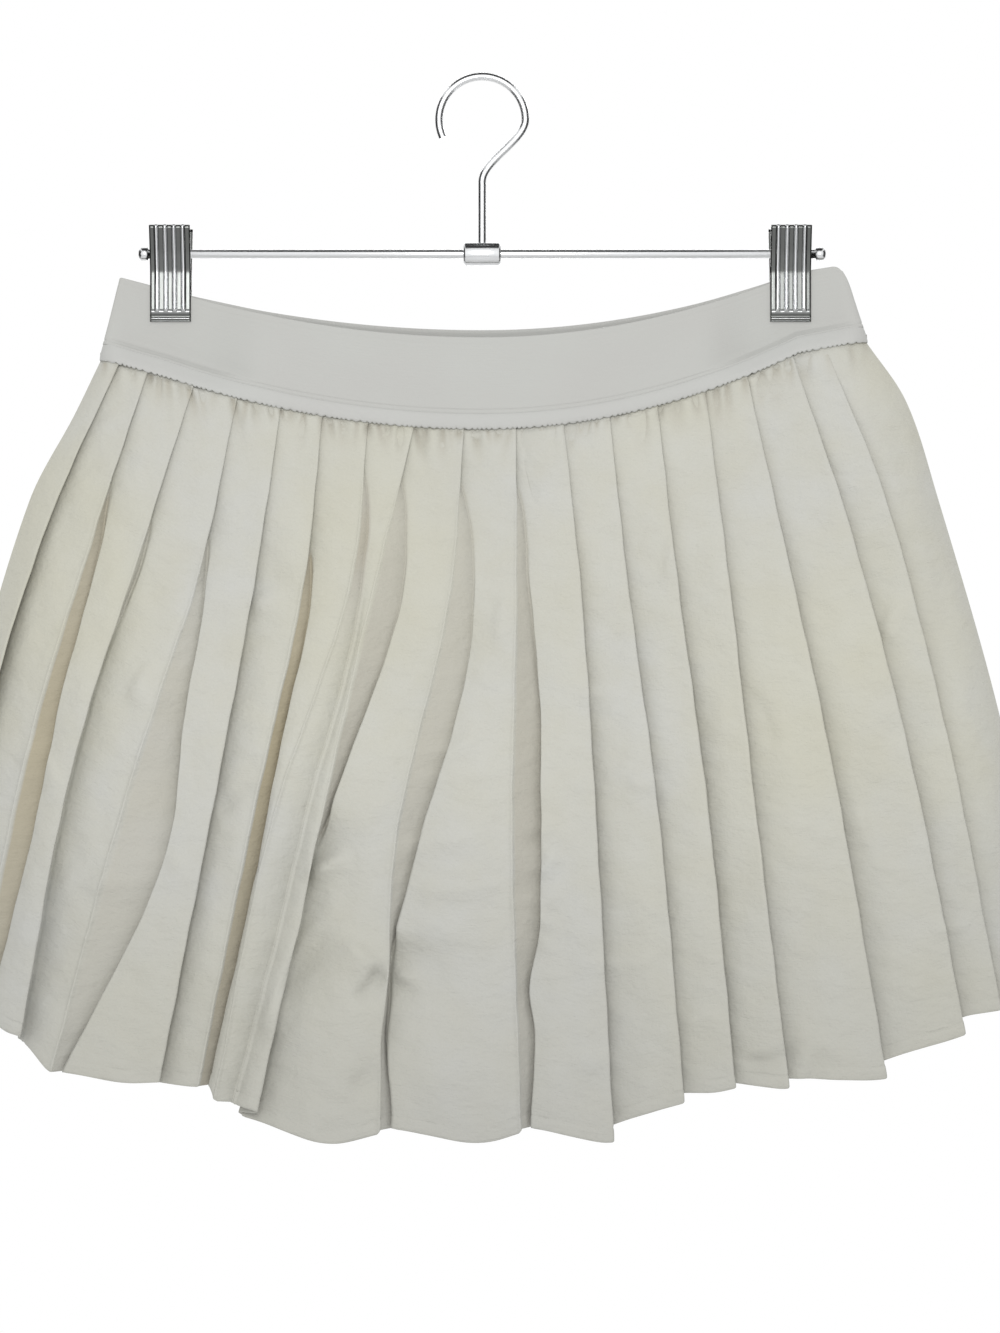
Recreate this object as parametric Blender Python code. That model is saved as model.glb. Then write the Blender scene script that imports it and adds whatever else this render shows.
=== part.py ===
"""Pleated tennis skirt clamped on a two-clip hanger.

The skirt hangs from a hook.  The origin is the inside top of the hook, where it
rests on a rail.  +X is the viewer's right, -Y is the front, +Z is up.  All sizes
below are in millimetres; the meshes are written in metres.

Each panel is one strip of cloth folded into one-way knife pleats.  A row of the
strip runs: face -> outer fold -> back under the face -> inner fold -> next face.
The back panel is the same construction turned half a turn about the Z axis.
"""

import math

import bmesh
import bpy

MM = 0.001
GAP = 0.3                 # air between neighbouring pieces
SEAM_GAP = 0.45           # the same, where both edges are curved

# Hanger
BAR_Z = -84.0             # bar centre below the rail
BAR_RADIUS = 2.1
BAR_HALF = 166.0
BAR_KNOB_RADIUS = 3.1
BAR_KNOB_LENGTH = 5.0
BOSS_RADIUS = 5.6
BOSS_HALF = 9.0
SOCKET_DEPTH = 3.0
HOOK_WIRE_RADIUS = 1.9
HOOK_BEND_RADIUS = 20.9   # to the wire's centre
HOOK_NECK = 24.0          # height over which the stem swings out to the bend
HOOK_NECK_EASE = 6.0      # part of the stem's top that already swings
HOOK_OPEN_DEG = 205.0     # angle at which the bend's tip ends

# Clips
CLIP_X = (-150.5, 149.0)
CLIP_WIDTH = 19.7
CLIP_FOOT = 53.0          # jaw's lower edge above the lowest point of the seam
CLIP_RIBS = 4
CLIP_SHEET = 0.9
CLIP_RIB = 1.5            # rib height above the sheet
CLIP_BAND_HALF = 2.45     # half the gap between the jaws, at the band
CLIP_LIP = 3.6            # height of the flat lip along the jaw's lower edge
CLIP_STEP = 0.7           # height of each step between lip, groove and ribs
CLIP_GROOVE = 1.2         # height of the groove above the lip
CLIP_GRIP = 24.0          # height of the part that lies on the band
CLIP_TAB = 13.0           # height of the finger tab above the bar's centre
CLIP_TAB_OPENS = 4.0      # how far the tab leans out over that height
SPRING_RADIUS = 4.1
SPRING_HALF = 7.0

# Waist: heights are above the lowest point of the seam between skirt and binding
SEAM_LOW_Z = BAR_Z - 86.0
BAND_WALL = 1.6
BAND_TOP_LOW = 45.0
BAND_TOP_RISE = (29.5, 40.0)       # rise of the top edge at RISE_SPAN, left and right
BINDING_TOP_LOW = 8.0
BINDING_TOP_RISE = (32.5, 46.5)
SEAM_RISE = (31.5, 46.0)
RISE_SPAN = 170.0
END_FLAT = 152.0                   # outside this the edges flatten out
END_SLOPE = (0.85, 0.38)           # share of the slope left there, left and right
BACK_LESS_SAG = 5.0                # the back edge hangs this much less at the middle
BINDING_WALL = 2.6
PINCH_HALF = 1.35                  # wall's centre from the middle plane inside a clip
PINCH_MARGIN = 7.0                 # the band stays flat this far beyond a jaw
PINCH_REACH = 30.0
BAND_ROWS = (0.0, 0.3, 0.6, 0.88, 1.0)
BAND_PINCHED = 0.88                # share of the band's height that the jaws hold flat
BAND_OPENS = 0.65                  # share of the squeeze that is gone at its lower edge
BINDING_ROWS = ((0.0, 0.45), (0.3, 1.0), (0.7, 1.0), (1.0, 0.45))
STRIP_COLUMNS = 40                 # must divide HalfLoop.STEPS
ROUND_SIDES = 16

# Skirt cloth
CLOTH = 1.0
FOLD_OPEN = 1.45                   # distance between the two leaves at a fold
WAIST_VALLEY = 4.8                 # pleat depth at the waist
FACE_BOW = 0.8                     # how far a face bows out at its middle
VALLEY_GROWS_BY = 0.5              # share of the length where pleats reach full depth
ROWS = (0.0, 0.07, 0.16, 0.28, 0.42, 0.56, 0.71, 0.86, 1.0)
LINE_AT = (0.0, 0.25, 0.6, 1.0)
GAP_AT = (0.0, 0.25, 0.45, 0.7, 1.0)

# Loops: x of the left and right ends, length of the rounded end, depth where the
# rounded end starts, and extra depth at the middle
LOOP_BAND_TOP = dict(left=-174.5, right=174.0, cap=7.0, end=3.2, bulge=4.6)
LOOP_BINDING_TOP = dict(left=-182.5, right=183.5, cap=9.0, end=7.6, bulge=3.6)
LOOP_SEAM = dict(left=-184.5, right=186.0, cap=11.0, end=9.6, bulge=3.0)

# The skirt's own loop, one column per place in LOOP_AT
LOOP_AT = (0.0, 0.1, 0.25, 0.6, 1.0)
SKIRT_LOOP = dict(left=(-184.5, -197.5, -219.0, -250.0, -280.0),
                  right=(186.0, 205.0, 220.0, 251.0, 278.0),
                  cap=(11.0, 25.0, 45.0, 87.0, 120.0), end=(9.6, 14.0, 21.0, 34.0, 43.0),
                  bulge=(3.0, 4.0, 6.0, 10.0, 13.0))

# One row per front pleat, from the left.  waist, upper, lower, hem: x of the outer
# fold at LINE_AT.  gap_*: how far right of the fold the inner fold lies at GAP_AT
# (minus is hidden behind).  valley: depth of the pleat at the hem.  lift: how far
# the fold stands out of its place.  belly: how much lower the middle of the face's
# hem hangs, and how far it bows out there.  drop, valley_drop: height of the hem
# below the seam's lowest point, at the outer and at the inner fold.
COLUMNS = ("waist", "upper", "lower", "hem", "gap_upper", "gap_middle", "gap_lower",
           "gap_hem", "valley", "lift", "belly", "drop", "valley_drop")
FOLD_LINE = COLUMNS[:4]
GAP_LINE = COLUMNS[4:8]
EDGE_TUCKS = (1.0, 8.0, 17.0)      # how far the first pleats tuck back at the waist
SIDE_RISE = 2.0                    # hem at the side seam, above its nearest pleat
SIDE_PLAIN = (0.4, 0.5)            # where the plain point between side seam and fold lies
FRONT_PLEATS = (
    (-175, -208, -240, -266, -8, -11, -12, -12, 12, 0, 0, 271, 270),
    (-161, -185, -216, -240, 3, 8, 12, 6, 15, 1, 0, 279, 278),
    (-139, -162, -194, -217, 2, 0, 2, -3, 12, 3, 1, 286, 290),
    (-118, -134, -168, -202, 3, 14, 27, 5, 15, 0, 0, 304, 303),
    (-97, -108, -127, -151, 0, -4, -7, -7, 12, 0, 1, 307, 308),
    (-77, -85, -108, -133, 3, 5, 5, 5, 16, -1, 0, 310, 309),
    (-55, -63, -101, -126, 2, 12, 14, 8, 7, 3, 0, 315, 318),
    (-33, -52, -77, -105, 13, 8, -3, -8, 14, 3, 1, 320, 323),
    (-9, -16, -41, -48, 11, 16, 8, 6, 15, 0, 5, 330, 328),
    (16, 16, 14, 18, 6, 13, 13, 5, 15, 1, 3, 328, 328),
    (39, 47, 54, 61, -10, -13, -13, -12, 13, 2, 1, 336, 330),
    (61, 69, 83, 94, -10, -13, -13, -13, 12, 0, 0, 317, 313),
    (84, 92, 106, 118, -6, -6, -6, -6, 12, -1, 0, 310, 308),
    (107, 116, 128, 143, -10, -13, -13, -13, 12, 1, 0, 311, 306),
    (127, 144, 167, 189, -10, -13, -13, -13, 13, 1, 1, 307, 301),
    (149, 174, 202, 227, -10, -13, -13, -13, 13, 1, 1, 287, 280),
    (165, 194, 221, 245, -6, -6, -6, -6, 11, 0, 0, 276, 274),
)

# The back panel's pleats, from its own left (seen from behind)
BACK_WAIST = (-175.0, 172.0)
BACK_HEM_START = -262.0
BACK_HEM_PITCH = (27, 34, 29, 38, 26, 41, 33, 28, 44, 31, 36, 27, 39, 30, 35, 22)
BACK_GAPS = (-8, 3, -8, -12, -13, 6, -8, -13, -12, 8, -6, -13, 5, -9, -13, -12, -3)
BACK_VALLEYS = (12, 15, 12, 13, 15)
BACK_LIFTS = (0, 1, -1, 2, 0, 1)
BACK_BELLIES = (0, 1, 0, 3, 0, 0, 2)
BACK_DROP = 334.0                  # hem below the seam's lowest point, at the middle
BACK_VALLEY_RISE = 4.0             # how much higher the inner folds end
BACK_RISE = 62.0                   # how much higher the hem is at BACK_RISE_AT
BACK_RISE_AT = 250.0
BACK_RISE_POWER = 2.2
BACK_FAN = (0.32, 0.63)            # share of a fold's spread reached at the inner LINE_AT
BACK_GAP_FAN = (0.6, 1.0, 1.0, 0.8)    # share of the pleat's gap at each GAP_AT


def smooth_through(places, values, at):
    """A smooth line through (place, value) pairs, read at one place."""
    last = len(places) - 1
    index = 0
    while index < last - 1 and at > places[index + 1]:
        index += 1

    def slope(i):
        low, high = max(i - 1, 0), min(i + 1, last)
        return (values[high] - values[low]) / (places[high] - places[low])

    span = places[index + 1] - places[index]
    s = (at - places[index]) / span
    a, b = values[index], values[index + 1]
    da, db = slope(index) * span, slope(index + 1) * span
    return (a * (1 + 2 * s) * (1 - s) ** 2 + da * s * (1 - s) ** 2
            + b * s * s * (3 - 2 * s) + db * s * s * (s - 1))


def ease(s):
    s = min(max(s, 0.0), 1.0)
    return s * s * (3 - 2 * s)


def mix(a, b, s):
    return a + (b - a) * s


def edge_height(x, low, rise, back):
    """Height of a sagging edge above the seam's lowest point, at world x."""
    reach = min(abs(x), END_FLAT)
    scale, kept = (rise[0], END_SLOPE[0]) if x < 0 else (rise[1], END_SLOPE[1])
    height = scale * (reach / RISE_SPAN) ** 2
    if abs(x) > END_FLAT:
        slope = 2 * scale * END_FLAT / RISE_SPAN ** 2
        height += slope * kept * (abs(x) - END_FLAT)
    if back:
        height += BACK_LESS_SAG * max(0.0, 1 - (x / END_FLAT) ** 2)
    return low + height


class HalfLoop:
    """The front half of a closed loop seen from above, from its left end to its
    right end.  turn = -1 gives the back half, in the frame turned half round."""

    STEPS = 240

    def __init__(self, loop, turn):
        left, right = loop["left"], loop["right"]
        if turn < 0:
            left, right = -right, -left
        self.left, self.right = left, right
        self.points = []
        middle, half = (left + right) / 2, (right - left) / 2
        for i in range(self.STEPS + 1):
            across = -math.cos(math.pi * i / self.STEPS)
            x = half * across
            inset = max(0.0, (abs(x) - (half - loop["cap"])) / loop["cap"])
            body = loop["end"] + loop["bulge"] * (1 - across * across)
            depth = body * math.sqrt(max(0.0, 1 - inset * inset))
            self.points.append((middle + x, -depth))

    def frame_at(self, x, out):
        """Place and outward direction where a point standing `out` proud has x."""
        earlier = self.points[0][0], self.points[0], (-1.0, 0.0)
        for i in range(1, self.STEPS):
            dx, dy = unit(self.points[i - 1], self.points[i + 1])
            here, normal = self.points[i], (dy, -dx)
            proud_x = here[0] + normal[0] * out
            if proud_x >= x:
                s = (x - earlier[0]) / max(proud_x - earlier[0], 1e-9)
                place = mix(earlier[1][0], here[0], s), mix(earlier[1][1], here[1], s)
                return place, normal
            earlier = proud_x, here, normal
        return here, normal


def skirt_loop(share):
    """The skirt's own loop, between the seam (0) and the hem (1)."""
    return {key: smooth_through(LOOP_AT, values, share) for key, values in SKIRT_LOOP.items()}


def fold_points(path, width, sides):
    """Replace each fold of a zigzag path by two points `width` apart.  sides holds
    +1 for an inner fold, -1 for an outer fold and 0 for a plain point."""
    result = []
    for i, (x, y) in enumerate(path):
        if sides[i] == 0:
            result.append((x, y))
            continue
        ax, ay = x - path[i - 1][0], y - path[i - 1][1]
        bx, by = path[i + 1][0] - x, path[i + 1][1] - y
        la, lb = math.hypot(ax, ay), math.hypot(bx, by)
        dx, dy = bx / lb - ax / la, by / lb - ay / la
        length = math.hypot(dx, dy)
        ux, uy = -dy / length * sides[i], dx / length * sides[i]
        half = width / 2
        result.append((x - ux * half, y - uy * half))
        result.append((x + ux * half, y + uy * half))
    return result


def offset_path(path, distance, first, last):
    """The path moved sideways, to its right for a positive distance, mitred at its
    corners.  first and last are the unit directions of its two ends."""
    moved = []
    count = len(path)
    for i, (x, y) in enumerate(path):
        if i == 0:
            before = after = first
        elif i == count - 1:
            before = after = last
        else:
            before, after = unit(path[i - 1], path[i]), unit(path[i], path[i + 1])
        nx, ny = before[1] + after[1], -(before[0] + after[0])
        length = math.hypot(nx, ny)
        nx, ny = nx / length, ny / length
        stretch = 1 / max(0.5, nx * after[1] - ny * after[0])
        moved.append((x + nx * distance * stretch, y + ny * distance * stretch))
    return moved


def unit(a, b):
    dx, dy = b[0] - a[0], b[1] - a[1]
    length = math.hypot(dx, dy)
    return dx / length, dy / length


def material(name, colour, roughness, metallic):
    made = bpy.data.materials.new(name)
    made.use_nodes = True
    shader = made.node_tree.nodes["Principled BSDF"]
    shader.inputs["Base Color"].default_value = (*colour, 1.0)
    shader.inputs["Roughness"].default_value = roughness
    shader.inputs["Metallic"].default_value = metallic
    return made


def add_object(name, bm, finish, smooth_deg=40.0):
    """Turn a bmesh in millimetres into a named object in metres."""
    bmesh.ops.scale(bm, vec=(MM, MM, MM), verts=bm.verts)
    bmesh.ops.recalc_face_normals(bm, faces=bm.faces)
    mesh = bpy.data.meshes.new(name)
    bm.to_mesh(mesh)
    bm.free()
    mesh.materials.append(finish)
    mesh.shade_smooth()
    mesh.set_sharp_from_angle(angle=math.radians(smooth_deg))
    thing = bpy.data.objects.new(name, mesh)
    bpy.context.collection.objects.link(thing)
    return thing


def wall_between(outer, inner):
    """A closed wall between two grids of points with the same rows and columns."""
    bm = bmesh.new()
    rows, columns = len(outer), len(outer[0])
    out = [[bm.verts.new(p) for p in row] for row in outer]
    inn = [[bm.verts.new(p) for p in row] for row in inner]
    for r in range(rows - 1):
        for c in range(columns - 1):
            bm.faces.new((out[r][c], out[r][c + 1], out[r + 1][c + 1], out[r + 1][c]))
            bm.faces.new((inn[r][c], inn[r + 1][c], inn[r + 1][c + 1], inn[r][c + 1]))
    for c in range(columns - 1):
        bm.faces.new((out[0][c], inn[0][c], inn[0][c + 1], out[0][c + 1]))
        bm.faces.new((out[-1][c], out[-1][c + 1], inn[-1][c + 1], inn[-1][c]))
    for r in range(rows - 1):
        bm.faces.new((out[r][0], out[r + 1][0], inn[r + 1][0], inn[r][0]))
        bm.faces.new((out[r][-1], inn[r][-1], inn[r + 1][-1], out[r + 1][-1]))
    return bm


def turned(x, y, turn):
    return (x, y) if turn > 0 else (-x, -y)


# ---------------------------------------------------------------- skirt panels

def back_pleats():
    """The back panel's rows, in the same columns as the front's."""
    rows = []
    hem = BACK_HEM_START
    for k, pitch in enumerate((*BACK_HEM_PITCH, 0)):
        waist = mix(*BACK_WAIST, k / len(BACK_HEM_PITCH))
        gap = BACK_GAPS[k % len(BACK_GAPS)]
        drop = BACK_DROP - BACK_RISE * (abs(hem) / BACK_RISE_AT) ** BACK_RISE_POWER
        rows.append((waist, *(mix(waist, hem, share) for share in BACK_FAN), hem,
                     *(gap * share for share in BACK_GAP_FAN),
                     BACK_VALLEYS[k % len(BACK_VALLEYS)], BACK_LIFTS[k % len(BACK_LIFTS)],
                     BACK_BELLIES[k % len(BACK_BELLIES)], drop, drop - BACK_VALLEY_RISE))
        hem += pitch
    return rows


def pleat_row(pleats, share, turn):
    """One row across a panel: the zigzag path, what each point is, and heights."""
    loop = HalfLoop(skirt_loop(share), turn)
    path, sides, heights = [], [], []

    def height(x_waist, drop):
        top = edge_height(x_waist * turn, 0.0, SEAM_RISE, turn < 0)
        return mix(top, -drop, share)

    def add(point, side, z):
        path.append(point)
        sides.append(side)
        heights.append(z)

    def add_side(end, pleat, share_in):
        """The side seam's edge, or a plain point between it and its pleat."""
        x = smooth_through(LINE_AT, [pleat[c] for c in FOLD_LINE], share)
        place = loop.frame_at(mix(end, x, share_in), 0.0)[0] if share_in else (end, -GAP / 2)
        add(place, 0, height(mix(end, pleat["waist"], share_in), pleat["drop"] - SIDE_RISE))

    first, last = pleats[0], pleats[-1]
    add_side(loop.left, first, 0.0)
    add_side(loop.left, first, SIDE_PLAIN[0])
    for k, pleat in enumerate(pleats):
        x = smooth_through(LINE_AT, [pleat[c] for c in FOLD_LINE], share)
        tuck = EDGE_TUCKS[k] if k < len(EDGE_TUCKS) else pleat["waist"] - pleats[k - 1]["waist"]
        gaps = [-tuck] + [pleat[c] for c in GAP_LINE]
        gap = smooth_through(GAP_AT, gaps, share)
        grown = 1 - (1 - min(share / VALLEY_GROWS_BY, 1.0)) ** 2
        valley = mix(WAIST_VALLEY, pleat["valley"], grown)
        out = valley / 2 + pleat["lift"] * grown
        place, normal = loop.frame_at(x, out)
        outer = (place[0] + normal[0] * out, place[1] + normal[1] * out)
        tangent = (-normal[1], normal[0])
        inner = (outer[0] + tangent[0] * gap - normal[0] * valley,
                 outer[1] + tangent[1] * gap - normal[1] * valley)
        if k:
            (ax, ay), (bx, by) = path[-1], outer
            belly = pleat["belly"] * share ** 2
            bow = FACE_BOW * grown + belly
            middle = (ax + bx) / 2 + normal[0] * bow, (ay + by) / 2 + normal[1] * bow
            add(middle, 0, (heights[-1] + height(pleat["waist"], pleat["drop"])) / 2 - belly)
        add(outer, -1, height(pleat["waist"], pleat["drop"]))
        add(inner, 1, height(pleat["waist"] - tuck, pleat["valley_drop"]))
    add_side(loop.right, last, SIDE_PLAIN[1])
    add_side(loop.right, last, 0.0)
    return path, sides, heights


def panel_grids(pleats, turn):
    """Outer and inner points of a whole panel, row by row."""
    outer, inner = [], []
    for share in ROWS:
        path, sides, heights = pleat_row(pleats, share, turn)
        spread = []
        for side, z in zip(sides, heights):
            spread += [z] if side == 0 else [z, z]
        line = fold_points(path, FOLD_OPEN, sides)
        ends = (0.0, -1.0), (0.0, 1.0)
        for grid, distance in ((outer, CLOTH / 2), (inner, -CLOTH / 2)):
            moved = offset_path(line, distance, *ends)
            if share == 0.0:
                spread = [edge_height(x * turn, 0.0, SEAM_RISE, turn < 0) for x, y in moved]
            grid.append([(*turned(x, y, turn), SEAM_LOW_Z + z) for (x, y), z in zip(moved, spread)])
    return outer, inner


def skirt_panel(name, rows, turn, finish):
    pleats = [dict(zip(COLUMNS, row)) for row in rows]
    outer, inner = panel_grids(pleats, turn)
    return add_object(name, wall_between(outer, inner), finish, 30.0)


# ------------------------------------------------------------- band and binding

def near_clip(x):
    """1 between a clip's jaws, falling to 0 at PINCH_REACH from the clip's edge."""
    nearest = min(abs(x - place) for place in CLIP_X)
    return 1 - ease((nearest - CLIP_WIDTH / 2 - PINCH_MARGIN) / PINCH_REACH)


def strip_point(loops, edges, across, down, turn):
    """A point of a strip that runs between two edges.  across and down are 0 to 1."""
    top, foot = [loop.points[round(across * HalfLoop.STEPS)] for loop in loops]
    top_z = edge_height(top[0] * turn, *edges[0], turn < 0)
    foot_z = edge_height(foot[0] * turn, *edges[1], turn < 0)
    return mix(top[0], foot[0], down), mix(top[1], foot[1], down), mix(top_z, foot_z, down)


def strip_grid(loops, edges, rows, pinch, turn):
    """Rows of a strip's points.  rows holds (share down, distance out); pinch gives
    how much of the squeeze at the clips is left at a share down."""
    grid = []
    for down, out in rows:
        line = []
        for i in range(STRIP_COLUMNS + 1):
            x, y, z = strip_point(loops, edges, i / STRIP_COLUMNS, down, turn)
            squeeze = near_clip(x * turn) * pinch(down)
            line.append((x, mix(y, max(y, -PINCH_HALF), squeeze), z))
        moved = offset_path([(x, y) for x, y, z in line], out, (0.0, -1.0), (0.0, 1.0))
        moved[0] = (moved[0][0], -GAP / 2)
        moved[-1] = (moved[-1][0], -GAP / 2)
        grid.append([(*turned(x, y, turn), SEAM_LOW_Z + p[2]) for (x, y), p in zip(moved, line)])
    return grid


def waistband(name, turn, finish):
    loops = HalfLoop(LOOP_BAND_TOP, turn), HalfLoop(LOOP_BINDING_TOP, turn)
    edges = (BAND_TOP_LOW, BAND_TOP_RISE), (BINDING_TOP_LOW + SEAM_GAP, BINDING_TOP_RISE)
    half = BAND_WALL / 2
    grids = []
    for out in (half, -half):
        rows = [(down, out) for down in BAND_ROWS]
        grids.append(strip_grid(loops, edges, rows, band_pinch, turn))
    return add_object(name, wall_between(*grids), finish)


def band_pinch(down):
    return 1 - BAND_OPENS * ease((down - BAND_PINCHED) / (1 - BAND_PINCHED))


def binding(name, turn, finish):
    """The rolled strip over the seam, thickest at its middle."""
    loops = HalfLoop(LOOP_BINDING_TOP, turn), HalfLoop(LOOP_SEAM, turn)
    edges = (BINDING_TOP_LOW, BINDING_TOP_RISE), (SEAM_GAP, SEAM_RISE)
    grids = []
    for side in (1, -1):
        rows = [(down, side * BINDING_WALL / 2 * full) for down, full in BINDING_ROWS]
        grids.append(strip_grid(loops, edges, rows, lambda down: 1 - BAND_OPENS, turn))
    return add_object(name, wall_between(*grids), finish, 60.0)


# ----------------------------------------------------------------------- hanger

def turned_bar(name, profile, finish, bore=None):
    """A solid turned about the bar's axis from (x, radius) pairs.  With a bore the
    solid is a sleeve, and without one its ends close on the axis."""
    bm = bmesh.new()
    rings = []
    outline = list(profile)
    if bore:
        outline += [(profile[-1][0], bore), (profile[0][0], bore), profile[0]]
    for x, radius in outline:
        ring = []
        for i in range(ROUND_SIDES):
            angle = 2 * math.pi * i / ROUND_SIDES
            ring.append((x, radius * math.cos(angle), BAR_Z + radius * math.sin(angle)))
        rings.append(ring)
    made = [[bm.verts.new(p) for p in ring] for ring in (rings[:-1] if bore else rings)]
    if bore:
        made.append(made[0])
    for a, b in zip(made[:-1], made[1:]):
        for i in range(ROUND_SIDES):
            j = (i + 1) % ROUND_SIDES
            bm.faces.new((a[i], a[j], b[j], b[i]))
    if not bore:
        bm.faces.new(made[0])
        bm.faces.new(made[-1])
    return add_object(name, bm, finish, 35.0)


def hanger_bar(finish):
    knob = BAR_HALF - BAR_KNOB_LENGTH
    half = [(knob, BAR_RADIUS), (knob + 0.6, BAR_KNOB_RADIUS),
            (BAR_HALF - 1.2, BAR_KNOB_RADIUS), (BAR_HALF, BAR_KNOB_RADIUS - 1.2)]
    profile = [(-x, radius) for x, radius in reversed(half)] + half
    return turned_bar("hanger_bar", profile, finish)


def hanger_boss(finish):
    """The sleeve on the bar's middle, with a socket for the hook's stem."""
    profile = [(-BOSS_HALF, BOSS_RADIUS - 1.0), (-BOSS_HALF + 1.0, BOSS_RADIUS),
               (BOSS_HALF - 1.0, BOSS_RADIUS), (BOSS_HALF, BOSS_RADIUS - 1.0)]
    boss = turned_bar("hanger_boss", profile, finish, BAR_RADIUS + GAP)
    bm = bmesh.new()
    bmesh.ops.create_cone(bm, cap_ends=True, segments=ROUND_SIDES, depth=2 * SOCKET_DEPTH,
                          radius1=HOOK_WIRE_RADIUS + GAP, radius2=HOOK_WIRE_RADIUS + GAP)
    bmesh.ops.translate(bm, verts=bm.verts, vec=(0, 0, BAR_Z + BOSS_RADIUS))
    cutter = add_object("stem_socket", bm, finish)
    cutter.hide_render = True
    cutter.display_type = "WIRE"
    cut = boss.modifiers.new("socket", "BOOLEAN")
    cut.operation = "DIFFERENCE"
    cut.solver = "EXACT"
    cut.object = cutter
    return boss


def hanger_hook(finish):
    """Round wire: stem, a swing to the side, and a bend over the rail.  The rail
    touches the bend's inside at the origin."""
    bend_z = -(HOOK_BEND_RADIUS - HOOK_WIRE_RADIUS)
    stem_foot = BAR_Z + BOSS_RADIUS - SOCKET_DEPTH + GAP
    stem_top = bend_z - HOOK_NECK
    swing_foot = stem_top - HOOK_NECK_EASE
    path = [(0.0, stem_foot), (0.0, swing_foot)]
    steps = 8
    for i in range(1, steps):
        share = i / steps
        path.append((HOOK_BEND_RADIUS * ease(share), mix(swing_foot, bend_z, share)))
    turns = 20
    for i in range(turns + 1):
        angle = math.radians(HOOK_OPEN_DEG) * i / turns
        path.append((HOOK_BEND_RADIUS * math.cos(angle), bend_z + HOOK_BEND_RADIUS * math.sin(angle)))
    curve = bpy.data.curves.new("hanger_hook", "CURVE")
    curve.dimensions = "3D"
    curve.bevel_depth = HOOK_WIRE_RADIUS * MM
    curve.bevel_resolution = 2
    curve.use_fill_caps = True
    spline = curve.splines.new("POLY")
    spline.points.add(len(path) - 1)
    for point, (x, z) in zip(spline.points, path):
        point.co = (x * MM, 0.0, z * MM, 1.0)
    curve.materials.append(finish)
    hook = bpy.data.objects.new("hanger_hook", curve)
    bpy.context.collection.objects.link(hook)
    return hook


def rib_height(across, kind):
    """Height of a jaw's outer face above its inner face, across 0 to 1."""
    if kind == "lip":
        return CLIP_SHEET + CLIP_RIB * 0.7
    if kind == "groove":
        return CLIP_SHEET
    wave = math.cos(2 * math.pi * CLIP_RIBS * across)
    return CLIP_SHEET + CLIP_RIB * (1 - max(0.0, wave) ** 0.6 if wave > 0 else 1.0)


def clip_jaw(name, x_middle, turn, finish):
    """A pressed jaw: flat lip, groove, then upright ribs up to the finger tab."""
    foot = SEAM_LOW_Z + CLIP_FOOT
    groove = foot + CLIP_LIP + CLIP_STEP
    band = CLIP_BAND_HALF
    rows = ((foot, band, "lip"), (foot + CLIP_LIP, band, "lip"),
            (groove, band, "groove"), (groove + CLIP_GROOVE, band, "groove"),
            (groove + CLIP_GROOVE + CLIP_STEP, band, "rib"), (foot + CLIP_GRIP, band, "rib"),
            (BAR_Z, SPRING_RADIUS + GAP, "rib"),
            (BAR_Z + CLIP_TAB, SPRING_RADIUS + CLIP_TAB_OPENS, "rib"))
    columns = CLIP_RIBS * 8
    outer, inner = [], []
    for z, y, kind in rows:
        out_row, in_row = [], []
        for c in range(columns + 1):
            across = c / columns
            x = (across - 0.5) * CLIP_WIDTH
            depth = y + rib_height(across, kind)
            out_row.append((*turned(x, -depth, turn), z))
            in_row.append((*turned(x, -y, turn), z))
        outer.append(out_row)
        inner.append(in_row)
    bm = wall_between(outer, inner)
    bmesh.ops.translate(bm, verts=bm.verts, vec=(x_middle, 0, 0))
    return add_object(name, bm, finish, 50.0)


def clip_spring(name, x_middle, finish):
    """The coil spring round the bar between the jaws, as one sleeve."""
    low, high = x_middle - SPRING_HALF, x_middle + SPRING_HALF
    profile = [(low, SPRING_RADIUS), (high, SPRING_RADIUS)]
    return turned_bar(name, profile, finish, BAR_RADIUS + GAP)


def main():
    for thing in list(bpy.data.objects):
        bpy.data.objects.remove(thing, do_unlink=True)
    cloth = material("ivory_cloth", (0.79, 0.77, 0.67), 0.9, 0.0)
    elastic = material("white_elastic", (0.78, 0.78, 0.76), 0.8, 0.0)
    bound = material("white_binding", (0.79, 0.79, 0.77), 0.75, 0.0)
    chrome = material("chrome", (0.62, 0.63, 0.64), 0.2, 1.0)
    skirt_panel("skirt_front", FRONT_PLEATS, 1, cloth)
    skirt_panel("skirt_back", back_pleats(), -1, cloth)
    for side, turn in (("front", 1), ("back", -1)):
        waistband("waistband_" + side, turn, elastic)
        binding("binding_" + side, turn, bound)
    hanger_bar(chrome)
    hanger_boss(chrome)
    hanger_hook(chrome)
    for side, x in zip(("left", "right"), CLIP_X):
        clip_jaw("clip_%s_front_jaw" % side, x, 1, chrome)
        clip_jaw("clip_%s_back_jaw" % side, x, -1, chrome)
        clip_spring("clip_%s_spring" % side, x, chrome)


main()
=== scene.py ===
"""Looks of a pleated tennis skirt clamped on a two-clip hanger.

The cloth is drawn as thin shells on the CAD solids' form.  Sizes are in
millimetres in the CAD frame (the rail under the hook is the origin, -Y is the
front) and become metres when a mesh is made.
"""

import math
from collections import namedtuple

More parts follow.
